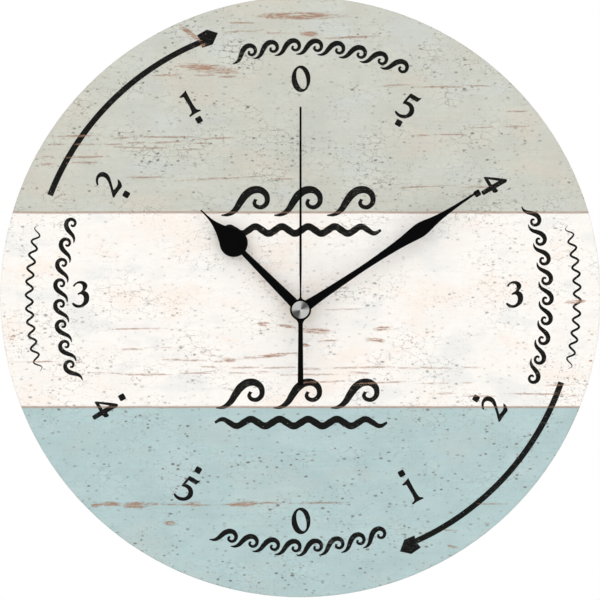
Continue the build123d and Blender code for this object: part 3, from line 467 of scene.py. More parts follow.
def moulded_material(name, colour, roughness, texture=0.012, specular=0.32, flow=0.05):
    """Moulded plastic: a fine spark-worn surface, faint flow marks and light scuffs."""
    paint = Paint(name)
    spark = paint.noise(5.5, 2.0, 0.6, 1.0)
    flow_marks = paint.noise((0.05, 0.08, 0.11), 3.0, 0.55, 7.0) - 0.5
    scuffs = paint.rise(paint.noise((0.12, 0.4, 2.6), 3.0, 0.7, 15.0), 0.62, 0.74)
    body = paint.times(shown(colour), 1.0 + flow_marks * (flow * 4) + (spark - 0.5) * 0.12)
    body = paint.blend(scuffs * 0.07, body, shown(SCUFF_GREY))
    roughness = roughness + flow_marks * 0.16 - scuffs * 0.08
    return paint.finish(body, roughness, height=spark * texture, specular=specular)


def case_material(movement):
    """Black case: spark-worn, with the round marks of the ejector pins on its back."""
    paint = Paint("case_plastic_looks")
    spark = paint.noise(5.0, 2.0, 0.6, 1.0)
    flow_marks = paint.noise((0.05, 0.08, 0.07), 3.0, 0.55, 7.0) - 0.5
    scuffs = paint.rise(paint.noise((0.35, 0.4, 1.9), 3.0, 0.75, 15.0), 0.66, 0.78)
    pin_radius = 1.6
    rings = [paint.fall(abs(paint.span(paint.x - across, paint.z - up) - pin_radius), 0.05, 0.16)
             for across, up in EJECTOR_MARKS]
    marks = reduce(paint.most, rings) * paint.rise(paint.y, -1.2, -0.6)
    colour = paint.times(shown(movement.case_colour), 1.0 + flow_marks * 0.3 + (spark - 0.5) * 0.2)
    colour = paint.blend(scuffs * 0.08 + marks * 0.1, colour, shown(CASE_SCUFF))
    roughness = 0.5 + flow_marks * 0.2 - scuffs * 0.1 - marks * 0.12
    return paint.finish(colour, roughness, height=spark * 0.014 - marks * 0.05, specular=0.3)


def metal_material(name, colour, roughness, brush=(0.3, 3.0, 3.0), tarnish=0.25):
    """Drawn or turned metal: brush lines along one axis and a little tarnish."""
    paint = Paint(name)
    lines = paint.noise(brush, 3.0, 0.65, 3.0)
    patches = paint.rise(paint.noise(0.35, 3.0, 0.6, 9.0), 0.45, 0.75)
    body = paint.times(shown(colour), 0.86 + lines * 0.26)
    body = paint.blend(patches * tarnish, body, paint.times(shown(colour), 0.55))
    return paint.finish(body, roughness + (lines - 0.5) * 0.18 + patches * 0.1, 1.0, height=lines * 0.004)


def lacquer_material(looks):
    """Black lacquer on thin sheet: a faint orange peel and dust-fine marks."""
    paint = Paint("hand_lacquer")
    peel = paint.noise(0.9, 2.0, 0.5, 2.0)
    dust = paint.flecks(1.3, 6.0, (0.03, 0.14), (0.86, 0.92))
    cloud = paint.noise(0.06, 2.0, 0.5, 12.0) - 0.5
    colour = paint.times(shown(looks.hand_colour), 0.9 + peel * 0.25)
    colour = paint.blend(dust * 0.08, colour, shown(DUST_GREY))
    return paint.finish(colour, 0.42 + cloud * 0.12 + dust * 0.1, height=peel * 0.008, specular=0.03)


def cap_material(looks):
    """Turned metal of the cap: rings round its axis, and a painted reflection in two bright and two dark
    sectors.
    """
    paint = Paint("turned_cap")
    radius = paint.span(paint.x, paint.z)
    fine_rings = paint.node("ShaderNodeTexNoise", {"noise_dimensions": "1D"},
                            {"W": radius * 9.0, "Scale": 1.0, "Detail": 2.0, "Roughness": 0.6}) - 0.5
    # Painted reflection: the colour is bright in the upper-left and lower-right sectors and dark in the other
    # two, as the turned grooves would reflect the key lamp.
    reflection_sectors = (paint.x * paint.z) / (radius * radius + 0.05)
    lean = (paint.x + paint.z) / (radius + 0.3) * 0.05
    painted_reflection = paint.rise(lean - reflection_sectors, -0.5, 0.15)
    scratches = paint.noise(2.2, 2.0, 0.6, 5.0) - 0.5
    # Brightness of the cap: the painted reflection, with the turned rings and scratches as tone.
    light = 0.16 + painted_reflection * 0.76 + fine_rings * 0.3 + scratches * 0.08
    colour = paint.times(shown(looks.cap_colour), light)
    return paint.finish(colour, 0.34 + fine_rings * 0.16, 1.0, height=fine_rings * 0.004)


def sleeve_material(movement):
    """Shrunk sleeve of the cell: a plain body, a band at the plus end, and its two signs."""
    paint = Paint("cell_sleeve_looks")
    low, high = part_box("battery_can")
    left, right, middle = low.x / MM, high.x / MM, (low.z + high.z) / 2 / MM
    band_width, sign_in = 13.0, 5.5
    ripple = paint.noise((0.25, 0.9, 0.9), 3.0, 0.6, 4.0)
    body, band = (paint.times(shown(colour), 0.85 + ripple * 0.3)
                  for colour in (movement.sleeve_colour, movement.band_colour))
    edge = right - band_width
    colour = paint.blend(paint.rise(paint.x, edge - 0.05, edge + 0.05), body, band)
    colour = paint.blend(paint.fall(abs(paint.x - edge), 0.3, 0.36), colour, shown(SLEEVE_LINE))

    def bar(along, beside):
        """All inside a bar, from the distances along it and beside it."""
        return paint.fall(along, 1.75, 1.8) * paint.fall(beside, 0.36, 0.4)

    up = abs(paint.z - middle)
    at_plus, at_minus = abs(paint.x - (right - sign_in)), abs(paint.x - (left + sign_in))
    plus = paint.most(bar(at_plus, up), bar(up, at_plus))
    signs = paint.most(plus, bar(at_minus, up)) * paint.rise(paint.y, -7.0, -6.6)
    colour = paint.blend(signs, colour, shown(SLEEVE_SIGN))
    return paint.finish(colour, 0.34 + (ripple - 0.5) * 0.15, height=ripple * 0.02, specular=0.45, coat=0.25)


def circuit_material(movement):
    """Circuit board: copper tracks under lacquer."""
    paint = Paint("circuit_looks")
    black, white = (0, 0, 0, 1), (1, 1, 1, 1)
    weave = paint.noise(2.4, 2.0, 0.5, 2.0)
    tracks = paint.node("ShaderNodeTexBrick", {}, {
        "Vector": paint.scaled((0.28, 0.0, 0.28), 0.4), "Scale": 1.0, "Mortar Size": 0.09,
        "Mortar Smooth": 0.1, "Color1": black, "Color2": black, "Mortar": white})
    colour = paint.times(shown(movement.circuit_colour), 0.8 + weave * 0.4)
    colour = paint.blend(paint.red(tracks) * 0.55, colour, shown(TRACK_GREEN))
    return paint.finish(colour, 0.36 + weave * 0.1, height=weave * 0.004)


def wire_material(movement):
    """Enamelled copper wire."""
    paint = Paint("coil_wire")
    along = paint.noise((0.8, 3.0, 3.0), 3.0, 0.6, 2.0)
    colour = paint.times(shown(movement.copper_colour), 0.78 + along * 0.42)
    return paint.finish(colour, 0.3 + along * 0.12, 0.9, height=along * 0.006)


# Selecting and shaping

def only(piece):
    """Selects one piece and nothing else."""
    for other in bpy.context.selected_objects:
        other.select_set(False)
    bpy.context.view_layer.objects.active = piece
    piece.select_set(True)


def edit(piece, pick, mode="FACE"):
    """Opens a piece in edit mode with only the faces or edges selected that pick says yes to."""
    only(piece)
    bpy.ops.object.mode_set(mode="EDIT")
    bpy.ops.mesh.select_mode(type=mode)
    bpy.ops.mesh.select_all(action="DESELECT")
    bpy.ops.object.mode_set(mode="OBJECT")
    mesh = piece.data
    if mode == "FACE":
        for face in mesh.polygons:
            face.select = pick(face)
    else:
        for side in mesh.edges:
            first, second = (mesh.vertices[i].co for i in side.vertices)
            side.select = pick(first, second)
    bpy.ops.object.mode_set(mode="EDIT")


def close(piece, smooth=30):
    """Merges doubles, turns the faces outwards and shades the piece smooth below an angle."""
    only(piece)
    bpy.ops.object.mode_set(mode="EDIT")
    bpy.ops.mesh.select_all(action="SELECT")
    bpy.ops.mesh.remove_doubles(threshold=1e-7)
    bpy.ops.mesh.normals_make_consistent(inside=False)
    bpy.ops.object.mode_set(mode="OBJECT")
    bpy.ops.object.shade_smooth_by_angle(angle=math.radians(smooth))


def settle(piece):
    """Puts a piece's place into its mesh."""
    only(piece)
    bpy.ops.object.transform_apply(location=True, rotation=True, scale=True)


def cylinder(radius, length, middle, turned, vertices):
    """A plain round bar, settled at its place."""
    bpy.ops.mesh.primitive_cylinder_add(vertices=vertices, radius=radius, depth=length, end_fill_type="NGON",
                                        location=middle, rotation=turned)
    settle(bpy.context.object)
    return bpy.context.object


def copy_to(master, name, place):
    """A copy of a flat piece, with a mesh of its own, at a place."""
    twin = master.copy()
    twin.data = master.data.copy()
    twin.name = twin.data.name = name
    bpy.context.collection.objects.link(twin)
    twin.data.transform(place)
    return twin


def joined(pieces, name):
    """Several pieces made one."""
    only(pieces[0])
    for piece in pieces[1:]:
        piece.select_set(True)
    bpy.ops.object.join()
    pieces[0].name = pieces[0].data.name = name
    return pieces[0]


# Flat outlines

def outline_piece(name, loops, thickness, offset=0.0):
    """A flat filled outline that faces +Z, from loops of (x, y, corner) in millimetres. The first loop is its
    outside and the others are its holes. The offset widens what is filled."""
    curve = bpy.data.curves.new(name, "CURVE")
    curve.dimensions, curve.fill_mode, curve.resolution_u = "2D", "BOTH", 5
    curve.extrude = thickness / 2
    curve.offset = offset
    for loop in loops:
        spline = curve.splines.new("BEZIER")
        spline.bezier_points.add(len(loop) - 1)
        for point, (x, y, corner) in zip(spline.bezier_points, loop):
            point.co = (x, y, 0)
            point.handle_left_type = point.handle_right_type = "VECTOR" if corner else "AUTO"
        spline.use_cyclic_u = True
    piece = bpy.data.objects.new(name, curve)
    bpy.context.collection.objects.link(piece)
    only(piece)
    bpy.ops.object.convert(target="MESH")
    piece = bpy.context.object
    piece.data.transform(Matrix.Scale(MM, 4))
    close(piece, 40)
    return piece


def stroke_loop(path):
    """The outline of a brush stroke through (x, y, half width) in millimetres."""
    left, right = [], []
    for i, (x, y, half) in enumerate(path):
        before, after = path[max(i - 1, 0)], path[min(i + 1, len(path) - 1)]
        along = Vector((after[0] - before[0], after[1] - before[1])).normalized()
        end = i in (0, len(path) - 1)
        left.append((x - along.y * half, y + along.x * half, end))
        right.append((x + along.y * half, y - along.x * half, end))
    return left + right[::-1]


def oval(half_width, half_height, lean=0.0, across=0.0, up=0.0):
    """A closed oval loop about a point, leaning to the left by a number of degrees."""
    turn = Matrix.Rotation(math.radians(lean), 2)
    count = 12
    loop = []
    for i in range(count):
        angle = 2 * math.pi * i / count
        x, y = turn @ Vector((half_width * math.cos(angle), half_height * math.sin(angle)))
        loop.append((across + x, up + y, 0))
    return loop


def bent_arrow(tail, neck, head, steps):
    """The loop of a bent arrow. Tail and neck are (turn clockwise from the top, radius, half width), and head
    holds the head's points from the outer side of the neck to the inner one."""
    outer, inner = [], []
    for i in range(steps + 1):
        turn, radius, half = (start + (end - start) * i / steps for start, end in zip(tail, neck))
        across, up = math.sin(math.radians(turn)), math.cos(math.radians(turn))
        corner = i in (0, steps)
        outer.append(((radius + half) * across, (radius + half) * up, corner))
        inner.append(((radius - half) * across, (radius - half) * up, corner))
    return outer + [(x, y, 1) for x, y in head] + inner[::-1]


def dial_place(turn, radius, spin, sideways=0.0, level=0):
    """The place of a flat piece on the dial: radius out at a turn clockwise from the top, with the piece
    turned clockwise by spin. Each level lies a hair above the one before."""
    angle = math.radians(turn)
    across = radius * math.sin(angle) + sideways * math.cos(math.radians(spin))
    up = radius * math.cos(angle) - sideways * math.sin(math.radians(spin))
    hair = 0.004
    depth = FACE_DEPTH + bpy.context.scene.tide_dial.ink_height / MM / 2 + level * hair
    place = Matrix.Translation(Vector((across, -depth, up + MIDDLE_UP)) * MM)
    return place @ Matrix.Rotation(math.radians(90), 4, "X") @ Matrix.Rotation(-math.radians(spin), 4, "Z")


def from_behind(across, depth, up):
    """The place of a flat piece that faces the wall, in millimetres."""
    return Matrix.Translation(Vector((across, -depth, up)) * MM) @ Matrix.Rotation(-math.radians(90), 4, "X")


# Materials and bodies of the pieces

def wear(piece, *materials):
    """Gives a piece its materials."""
    piece.data.materials.clear()
    for material in materials:
        piece.data.materials.append(material)


def carry(piece, body):
    """Lets a piece move with a body."""
    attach(piece, body)


def put_on_dial(piece, material=None):
    """Gives a piece of the print its ink, or another material, and fixes it to the dial."""
    wear(piece, material or bpy.data.materials.get("dial_ink") or ink_material(bpy.context.scene.tide_dial))
    carry(piece, "dial_and_case")


def finish_nodes(material, *names):
    """Gives CAD nodes a material in all their slots."""
    for name in names:
        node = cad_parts[name]
        if not node.material_slots:
            node.data.materials.append(material)
        for slot in node.material_slots:
            slot.material = material


# Marks of the dial

NUMERALS = {
    # closed outlines of (across, up, corner) in millimetres about the numeral's middle
    "0": (oval(4.2, 5.9), oval(2.05, 4.7, 13.3, 0.2, 0.1)),
    "1": (
        ((1.3, 5.6, 1), (1.2, 4.2, 0), (1.2, -3.2, 0), (1.5, -4.2, 0), (2.8, -5.2, 1), (2.7, -5.6, 1),
         (0.1, -5.4, 0), (-2.8, -5.6, 1), (-2.8, -5.0, 1), (-1.3, -4.4, 0), (-0.9, -3.4, 0), (-0.8, 3.5, 1),
         (-2.2, 3.8, 1), (-2.5, 4.3, 1), (-0.8, 4.8, 0), (0.5, 5.2, 0)),
    ),
    "2": (
        ((-2.9, 3.9, 1), (-1.6, 5.2, 0), (0.7, 6.0, 0), (3.0, 5.2, 0), (3.8, 3.1, 0), (3.2, 1.1, 0),
         (1.8, -0.5, 0), (-1.2, -3.6, 1), (0.5, -4.0, 0), (2.1, -3.9, 0), (3.2, -3.3, 0), (4.0, -2.8, 1),
         (3.9, -3.7, 0), (3.0, -5.2, 0), (2.1, -6.0, 1), (-1.1, -5.5, 0), (-3.8, -5.4, 1), (-4.0, -4.9, 1),
         (0.1, -0.7, 0), (1.3, 1.0, 0), (1.8, 2.6, 0), (1.4, 4.1, 0), (0.4, 4.8, 0), (-1.0, 4.5, 0),
         (-2.5, 3.4, 1)),
    ),
    "3": (
        ((-3.4, 3.8, 1), (-2.3, 5.0, 0), (-0.2, 5.9, 0), (2.1, 5.3, 0), (3.0, 3.8, 0), (1.8, 1.5, 1),
         (3.2, 0.6, 0), (3.8, -1.3, 0), (3.4, -3.4, 0), (1.8, -5.0, 0), (-0.6, -5.9, 0), (-2.7, -5.4, 0),
         (-3.8, -4.2, 1), (-3.4, -3.7, 1), (-0.7, -4.8, 0), (0.7, -4.2, 0), (1.5, -2.4, 0), (1.2, -0.6, 0),
         (0.2, 0.1, 0), (-1.1, -0.2, 1), (-1.2, 0.4, 1), (0.7, 1.8, 0), (1.0, 3.2, 0), (0.7, 4.3, 0),
         (-0.6, 4.9, 0), (-1.9, 4.5, 0), (-2.8, 3.4, 1)),
    ),
    "4": (
        ((1.3, 6.1, 1), (1.9, 6.3, 0), (2.5, 5.7, 0), (2.6, 3.8, 0), (2.6, 0.5, 1), (3.2, 0.3, 1),
         (3.8, 0.6, 1), (4.3, 0.1, 0), (4.3, -0.9, 0), (3.7, -1.9, 1), (3.2, -1.8, 1), (2.6, -2.2, 1),
         (2.6, -6.0, 1), (2.0, -6.3, 0), (1.2, -6.3, 0), (0.6, -6.2, 1), (0.4, -2.2, 1), (-4.2, -2.2, 1),
         (-4.3, -1.6, 1), (-0.5, 3.8, 0)),
        ((0.4, 2.8, 1), (0.4, -0.6, 1), (-2.5, -0.7, 1)),
    ),
    "5": (
        ((-1.7, 5.5, 1), (0.5, 5.6, 0), (2.6, 5.6, 0), (3.6, 6.2, 1), (3.4, 5.1, 0), (2.7, 3.5, 1),
         (-1.0, 3.6, 1), (-1.4, 1.6, 1), (0.1, 1.8, 0), (2.0, 1.3, 0), (3.4, -0.1, 0), (3.9, -2.0, 0),
         (3.1, -4.0, 0), (1.3, -5.6, 0), (-1.0, -6.2, 0), (-3.0, -5.7, 0), (-3.9, -4.9, 1), (-3.5, -4.4, 1),
         (-1.9, -4.8, 0), (-0.1, -4.5, 0), (1.3, -3.6, 0), (1.7, -2.0, 0), (1.2, -0.6, 0), (-0.2, 0.1, 0),
         (-2.6, -0.2, 1), (-2.5, 1.4, 0)),
    ),
}

THIN_NUMERALS = "123"
THIN_NUMERALS_WIDENED = 0.07

NUMERAL_PLACES = (
    # numeral, turn clockwise from the top, radius and step sideways in millimetres, the numeral's own turn
    ("0", 0, 97.0, 0.2, 0), ("5", 30, 97.4, -1.2, 30), ("4", 60, 99.2, -1.1, 60),
    ("3", 89.3, 95.1, 0.0, 0), ("2", 120, 99.0, 0.1, 300), ("1", 150, 99.2, -0.1, 330),
    ("0", 180, 99.5, 0.2, 0), ("5", 210, 99.0, -1.3, 30), ("4", 240, 100.5, -1.1, 60),
    ("3", 270.7, 97.8, 0.0, 0), ("2", 300, 99.3, 0.7, 300), ("1", 330, 99.5, 0.3, 330),
)

DOT_PLACES = (
    # name's turn, turn clockwise from the top, and how far past the usual radius in millimetres
    (30, 29.4, -1.8), (60, 59.6, 0.5), (120, 120.0, -0.5), (150, 150.2, -0.2),
    (210, 210.6, -1.2), (240, 240.7, 0.4), (300, 300.5, -0.7), (330, 330.2, 0.2),
)

# Tail and neck of the arrows, as turn clockwise from the top and half width in millimetres. The points of the
# head go from the outer side of the neck to the inner one.
ARROW_TAIL, ARROW_NECK = (-67.9, 1.34), (-21.4, 1.26)
ARROW_HEAD = ((-46.1, 116.3), (-41.7, 118.9), (-36.7, 117.4), (-39.0, 112.3), (-43.7, 110.75))
ARROW_STEP_TURN = -19.5

ARROWS = (
    # name, its turn on the dial, radius at the tail and at the neck and the head's step out in millimetres
    ("arrow_rising", 0, 120.2, 121.7, 0.0), ("arrow_falling", 176, 121.9, 120.0, -1.6),
)

SCROLL = (
    # one breaking wave as a brush stroke: across, up, half width in millimetres
    (-5.2, -2.5, 0.12), (-3.9, -2.35, 0.36), (-2.6, -1.5, 0.58), (-1.6, 0.0, 0.72), (-0.4, 1.55, 0.80),
    (1.2, 2.35, 0.76), (2.8, 1.95, 0.64), (3.5, 0.6, 0.54), (3.0, -0.65, 0.47), (1.85, -0.95, 0.42),
    (1.05, -0.25, 0.40), (1.35, 0.55, 0.36),
)

WAVE_ROWS = (
    # name, turn of the row's middle, radius, number of waves, angle between them, size, own turn of each
    ("waves_top", 5.0, 111.0, 8, 5.05, 1.28, 0), ("waves_bottom", 180.0, 111.6, 8, 4.95, 1.28, 180),
    ("waves_left", 269.5, 106.4, 8, 4.9, 1.14, 0), ("waves_right", 89.5, 108.9, 9, 4.65, 1.14, 0),
)

RIPPLES = (
    # name, turn of its middle, radius in millimetres, degrees that it reaches to each side
    ("ripple_left", -90.3, 120.6, 15.6), ("ripple_right", 90.0, 123.0, 15.0),
)

CRESTS = (
    # name, middle across, height up and distance from crest to crest in millimetres
    ("title_waves_upper", 0.5, 39.8, 23.5), ("title_waves_lower", 0.2, -45.8, 25.5),
)

WORN = (
    # name, streaks, room for the ragged rim, strength, raggedness
    ("worn_bold", BOLD_STREAKS, 1.7, 0.68, 1.2), ("worn_fine", cracks_in_rows(), 1.5, 0.48, 1.6),
)


class TIDE_OT_print_dial(bpy.types.Operator):
    """Print the three planks on the face and finish the fibre board behind it"""
    bl_idname = "tide.print_dial"
    bl_label = "Print the dial"

    def execute(self, context):
        finish_nodes(print_material(context.scene.tide_dial), "dial_face")
        finish_nodes(board_material(context.scene.tide_dial, context.scene.tide_movement), "dial_board")
        return {"FINISHED"}


class TIDE_OT_add_numerals(bpy.types.Operator):
    """Ink the twelve numerals, each outline drawn once and copied"""
    bl_idname = "tide.add_numerals"
    bl_label = "Add numerals"

    def execute(self, context):
        thickness = context.scene.tide_dial.ink_height / MM
        masters = {}
        for digit, loops in NUMERALS.items():
            offset = THIN_NUMERALS_WIDENED if digit in THIN_NUMERALS else 0.0
            masters[digit] = outline_piece(f"numeral_{digit}", loops, thickness, offset)
        for digit, turn, radius, sideways, spin in NUMERAL_PLACES:
            name = f"numeral_{digit}_at_{round(turn / 30) * 30:03d}"
            put_on_dial(copy_to(masters[digit], name, dial_place(turn, radius, spin, sideways)))
        for master in masters.values():
            bpy.data.objects.remove(master)
        return {"FINISHED"}


class TIDE_OT_add_dots(bpy.types.Operator):
    """Ink the eight square dots inside the numerals"""
    bl_idname = "tide.add_dots"
    bl_label = "Add dots"

    def execute(self, context):
        looks = context.scene.tide_dial
        bpy.ops.mesh.primitive_plane_add(size=looks.dot_side)
        master = context.object
        edit(master, lambda first, second: True, "EDGE")
        bpy.ops.mesh.bevel(offset=looks.dot_side * 0.2, segments=4, affect="VERTICES")
        bpy.ops.mesh.select_all(action="SELECT")
        bpy.ops.mesh.extrude_region_move(TRANSFORM_OT_translate={"value": (0, 0, looks.ink_height)})
        bpy.ops.object.mode_set(mode="OBJECT")
        master.data.transform(Matrix.Translation((0, 0, -looks.ink_height / 2)))
        close(master)
        for hour, turn, past in DOT_PLACES:
            place = dial_place(turn, looks.dot_radius / MM + past, turn)
            put_on_dial(copy_to(master, f"dot_{hour:03d}", place))
        bpy.data.objects.remove(master)
        return {"FINISHED"}


class TIDE_OT_add_arrows(bpy.types.Operator):
    """Ink the two arc arrows, one up the left side and one down the right"""
    bl_idname = "tide.add_arrows"
    bl_label = "Add arrows"

    def execute(self, context):
        thickness = context.scene.tide_dial.ink_height / MM
        lean = math.radians(ARROW_STEP_TURN)
        for name, turn, tail_radius, neck_radius, step in ARROWS:
            tail = (ARROW_TAIL[0], tail_radius, ARROW_TAIL[1])
            neck = (ARROW_NECK[0], neck_radius, ARROW_NECK[1])
            head = [(x + step * math.sin(lean), y + step * math.cos(lean)) for x, y in ARROW_HEAD]
            piece = outline_piece(name, [bent_arrow(tail, neck, head, steps=14)], thickness)
            piece.data.transform(dial_place(0, 0, turn))
            put_on_dial(piece)
        return {"FINISHED"}


class TIDE_OT_add_waves(bpy.types.Operator):
    """Ink the rows of breaking waves, the ripples along the dial's edge and the crests over a swell"""
    bl_idname = "tide.add_waves"
    bl_label = "Add waves"

    def execute(self, context):
        self.thickness = context.scene.tide_dial.ink_height / MM
        self.add_rows()
        for name, middle, radius, reach in RIPPLES:
            piece = self.stroke(name, self.ripple(middle, radius, reach))
            piece.data.transform(dial_place(0, 0, 0))
            put_on_dial(piece)
        self.add_crests()
        return {"FINISHED"}

    def stroke(self, name, path):
        """A brush stroke as a flat piece."""
        return outline_piece(name, [stroke_loop(path)], self.thickness)

    def add_rows(self):
        """Rows of small breaking waves along the rim."""
        broader = 1.15
        wave = self.stroke("wave_master", [(x, y, half * broader) for x, y, half in SCROLL])
        for name, middle, radius, count, step, size, own_turn in WAVE_ROWS:
            row = []
            for i in range(count):
                turn = middle + (i - (count - 1) / 2) * step
                place = dial_place(turn, radius, turn + own_turn) @ Matrix.Diagonal((size, size, 1, 1))
                row.append(copy_to(wave, f"{name}_{i}", place))
            put_on_dial(joined(row, name))
        bpy.data.objects.remove(wave)

    def add_crests(self):
        """Three large crests over a swell, above and below the dial's middle."""
        larger, broader, above_swell = 2.35, 2.2, 2.4
        path = [(x * larger, y * larger, half * broader) for x, y, half in SCROLL]
        crest = self.stroke("crest_master", path)
        for name, across, up, spread in CRESTS:
            row = [copy_to(crest, f"{name}_{i + 1}", dial_place(0, up + above_swell, 0, across + i * spread))
                   for i in (-1, 0, 1)]
            swell = self.stroke(name + "_swell", self.swell(spread))
            swell.data.transform(dial_place(0, up, 0, across, 1))
            put_on_dial(joined(row + [swell], name))
        bpy.data.objects.remove(crest)

    def swell(self, spread):
        """A thick wavy line below three crests, thinner towards its ends."""
        path = []
        height, half_width, below = 1.5, 1.5, 10.0
        for step in range(-12, 13):
            crests = step / 8
            half = half_width * (1 - abs(crests / 1.6) ** 6) + 0.1
            path.append((crests * spread, height * math.sin(crests * 4 * math.pi) - below, half))
        return path

    def ripple(self, middle, radius, reach):
        """A fine ripple bent along the dial's edge, reach degrees to each side of its middle."""
        path = []
        count, waves, height, half_width = 88, 11, 1.5, 0.46
        for i in range(count + 1):
            share = i / count * 2 - 1
            angle = math.radians(middle + share * reach)
            out = radius + height * math.sin(share * waves * math.pi)
            half = half_width * (1 - share ** 8) + 0.05
            path.append((out * math.sin(angle), out * math.cos(angle), half))
        return path


class TIDE_OT_add_wear(bpy.types.Operator):
    """Wear the print through to the wood in streaks along the grain, over the ink as well"""
    bl_idname = "tide.add_wear"
    bl_label = "Add wear"

    def execute(self, context):
        looks = context.scene.tide_dial
        bpy.ops.mesh.primitive_grid_add(x_subdivisions=10, y_subdivisions=1, size=2)
        master = context.object
        longer, rim, first_level = 1.25, 1.2, 6
        for name, streaks, room, strength, raggedness in WORN:
            material = streak_material(name + "_wood", looks, strength * looks.wear * 2, raggedness)
            row = []
            for i, (across, up, half_length, half_thickness, slope) in enumerate(streaks):
                room_left = math.sqrt(max((FACE_RADIUS - rim) ** 2 - up * up, 0.0)) - abs(across)
                half_length = min(half_length, max(room_left, 1.0) / longer)
                place = dial_place(0, up, 0, across, first_level + i % 3)
                lean = Matrix.Rotation(math.atan(slope), 4, "Z")
                size = Matrix.Diagonal((half_length * longer * MM, half_thickness * room * MM, 1, 1))
                row.append(copy_to(master, f"{name}_{i}", place @ lean @ size))
            put_on_dial(joined(row, name), material)
        bpy.data.objects.remove(master)
        return {"FINISHED"}


# Hands, movement and cell

MOULDED = (
    # material, colour, roughness, depth of texture in millimetres, specular, strength of flow, CAD nodes
    ("knob_plastic", (0.14, 0.14, 0.15), 0.4, 0.006, 0.32, 0.05, "setting_knob"),
    ("plate_plastic", (0.86, 0.85, 0.80), 0.45, 0.006, 0.4, 0.05,
     "train_bridge", "train_plate", "coil_bobbin"),
    ("wheel_plastic_milk", (0.93, 0.92, 0.87), 0.36, 0.003, 0.45, 0.02, "second_wheel", "minute_wheel"),
    ("wheel_plastic_straw", (0.88, 0.84, 0.66), 0.36, 0.003, 0.45, 0.02, "third_wheel", "centre_wheel"),
    ("wheel_plastic_slate", (0.30, 0.31, 0.33), 0.36, 0.003, 0.45, 0.02, "hour_wheel", "cannon_pinion"),
    ("wheel_plastic_mint", (0.70, 0.84, 0.76), 0.36, 0.003, 0.45, 0.02, "intermediate_wheel", "rotor_pinion"),
    ("chip_resin", (0.07, 0.07, 0.08), 0.25, 0.03, 0.5, 0.05, "chip_cover"),
    ("sintered_magnet", (0.24, 0.24, 0.25), 0.5, 0.02, 0.4, 0.05, "rotor_magnet"),
)

METALS = (
    # material, colour, roughness, brush lines per millimetre along each axis, tarnish, CAD nodes
    ("bright_steel", (0.76, 0.76, 0.75), 0.28, (0.3, 3.0, 3.0), 0.25,
     "second_arbor", "core_screws", "quartz_can", "battery_terminal"),
    ("sprung_steel", (0.80, 0.79, 0.76), 0.34, (3.0, 3.0, 0.3), 0.25, "positive_contact", "negative_contact"),
    ("core_steel", (0.60, 0.60, 0.60), 0.42, (0.25, 3.0, 3.0), 0.4, "stator", "coil_core"),
)


class TIDE_OT_add_cap(bpy.types.Operator):
    """Turn the silver cap: a rounded rim, concentric grooves and a small centre dimple"""
    bl_idname = "tide.add_cap"
    bl_label = "Add cap"

    def execute(self, context):
        looks = context.scene.tide_hands
        low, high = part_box("second_cap")
        radius, depth = (high.x - low.x) / 2, high.y - low.y
        plain_rim, rounding, wall = 0.25 * MM, 0.18 * MM, 0.06 * MM
        dimple_radius, dimple_depth = 0.75 * MM, 0.12 * MM
        cap = cylinder(radius, depth, (0, (low.y + high.y) / 2, 0), (math.radians(90), 0, 0), 96)
        edit(cap, lambda face: face.normal.y < -0.9)
        bpy.ops.mesh.inset(thickness=plain_rim, depth=0)
        inner, step = radius - plain_rim, -looks.groove_depth
        while inner > dimple_radius:
            bpy.ops.mesh.inset(thickness=wall, depth=step)
            bpy.ops.mesh.inset(thickness=looks.groove_pitch / 2 - wall, depth=0)
            inner -= looks.groove_pitch / 2
            step = -step
        bpy.ops.mesh.inset(thickness=plain_rim, depth=-dimple_depth)
        bpy.ops.object.mode_set(mode="OBJECT")
        edit(cap, lambda first, second: min(first.xz.length, second.xz.length) > radius * 0.999
             and abs(first.y - second.y) < 1e-7, "EDGE")
        bpy.ops.mesh.bevel(offset=rounding, segments=3, affect="EDGES")
        bpy.ops.object.mode_set(mode="OBJECT")
        close(cap, 25)
        cap.name = cap.data.name = "turned_cap"
        wear(cap, cap_material(looks))
        carry(cap, "second_set")
        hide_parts("second_cap")
        return {"FINISHED"}


class TIDE_OT_finish_hands(bpy.types.Operator):
    """Lacquer the three hands and finish their brass bushes, the nut and the washers"""
    bl_idname = "tide.finish_hands"
    bl_label = "Finish hands"

    def execute(self, context):
        finish_nodes(lacquer_material(context.scene.tide_hands), "hour_hand", "minute_hand", "second_hand")
        brass = metal_material("turned_brass", context.scene.tide_movement.brass_colour, 0.3, (3.0, 0.4, 3.0))
        finish_nodes(brass, "hour_bush", "minute_bush", "second_collet", "fixing_nut", "fixing_washer")
        rubber = moulded_material("washer_rubber", (0.10, 0.10, 0.10), 0.8, 0.02, 0.2)
        finish_nodes(rubber, "rubber_washer")
        return {"FINISHED"}


class TIDE_OT_finish_movement(bpy.types.Operator):
    """Finish the case, plates, wheels, circuit and contacts of the movement"""
    bl_idname = "tide.finish_movement"
    bl_label = "Finish movement"

    def execute(self, context):
        movement = context.scene.tide_movement
        finish_nodes(case_material(movement), "front_case", "back_cover")
        finish_nodes(circuit_material(movement), "circuit_board")
        for name, colour, roughness, texture, specular, flow, *nodes in MOULDED:
            finish_nodes(moulded_material(name, colour, roughness, texture, specular, flow), *nodes)
        for name, colour, roughness, brush, tarnish, *nodes in METALS:
            finish_nodes(metal_material(name, colour, roughness, brush, tarnish), *nodes)
        return {"FINISHED"}


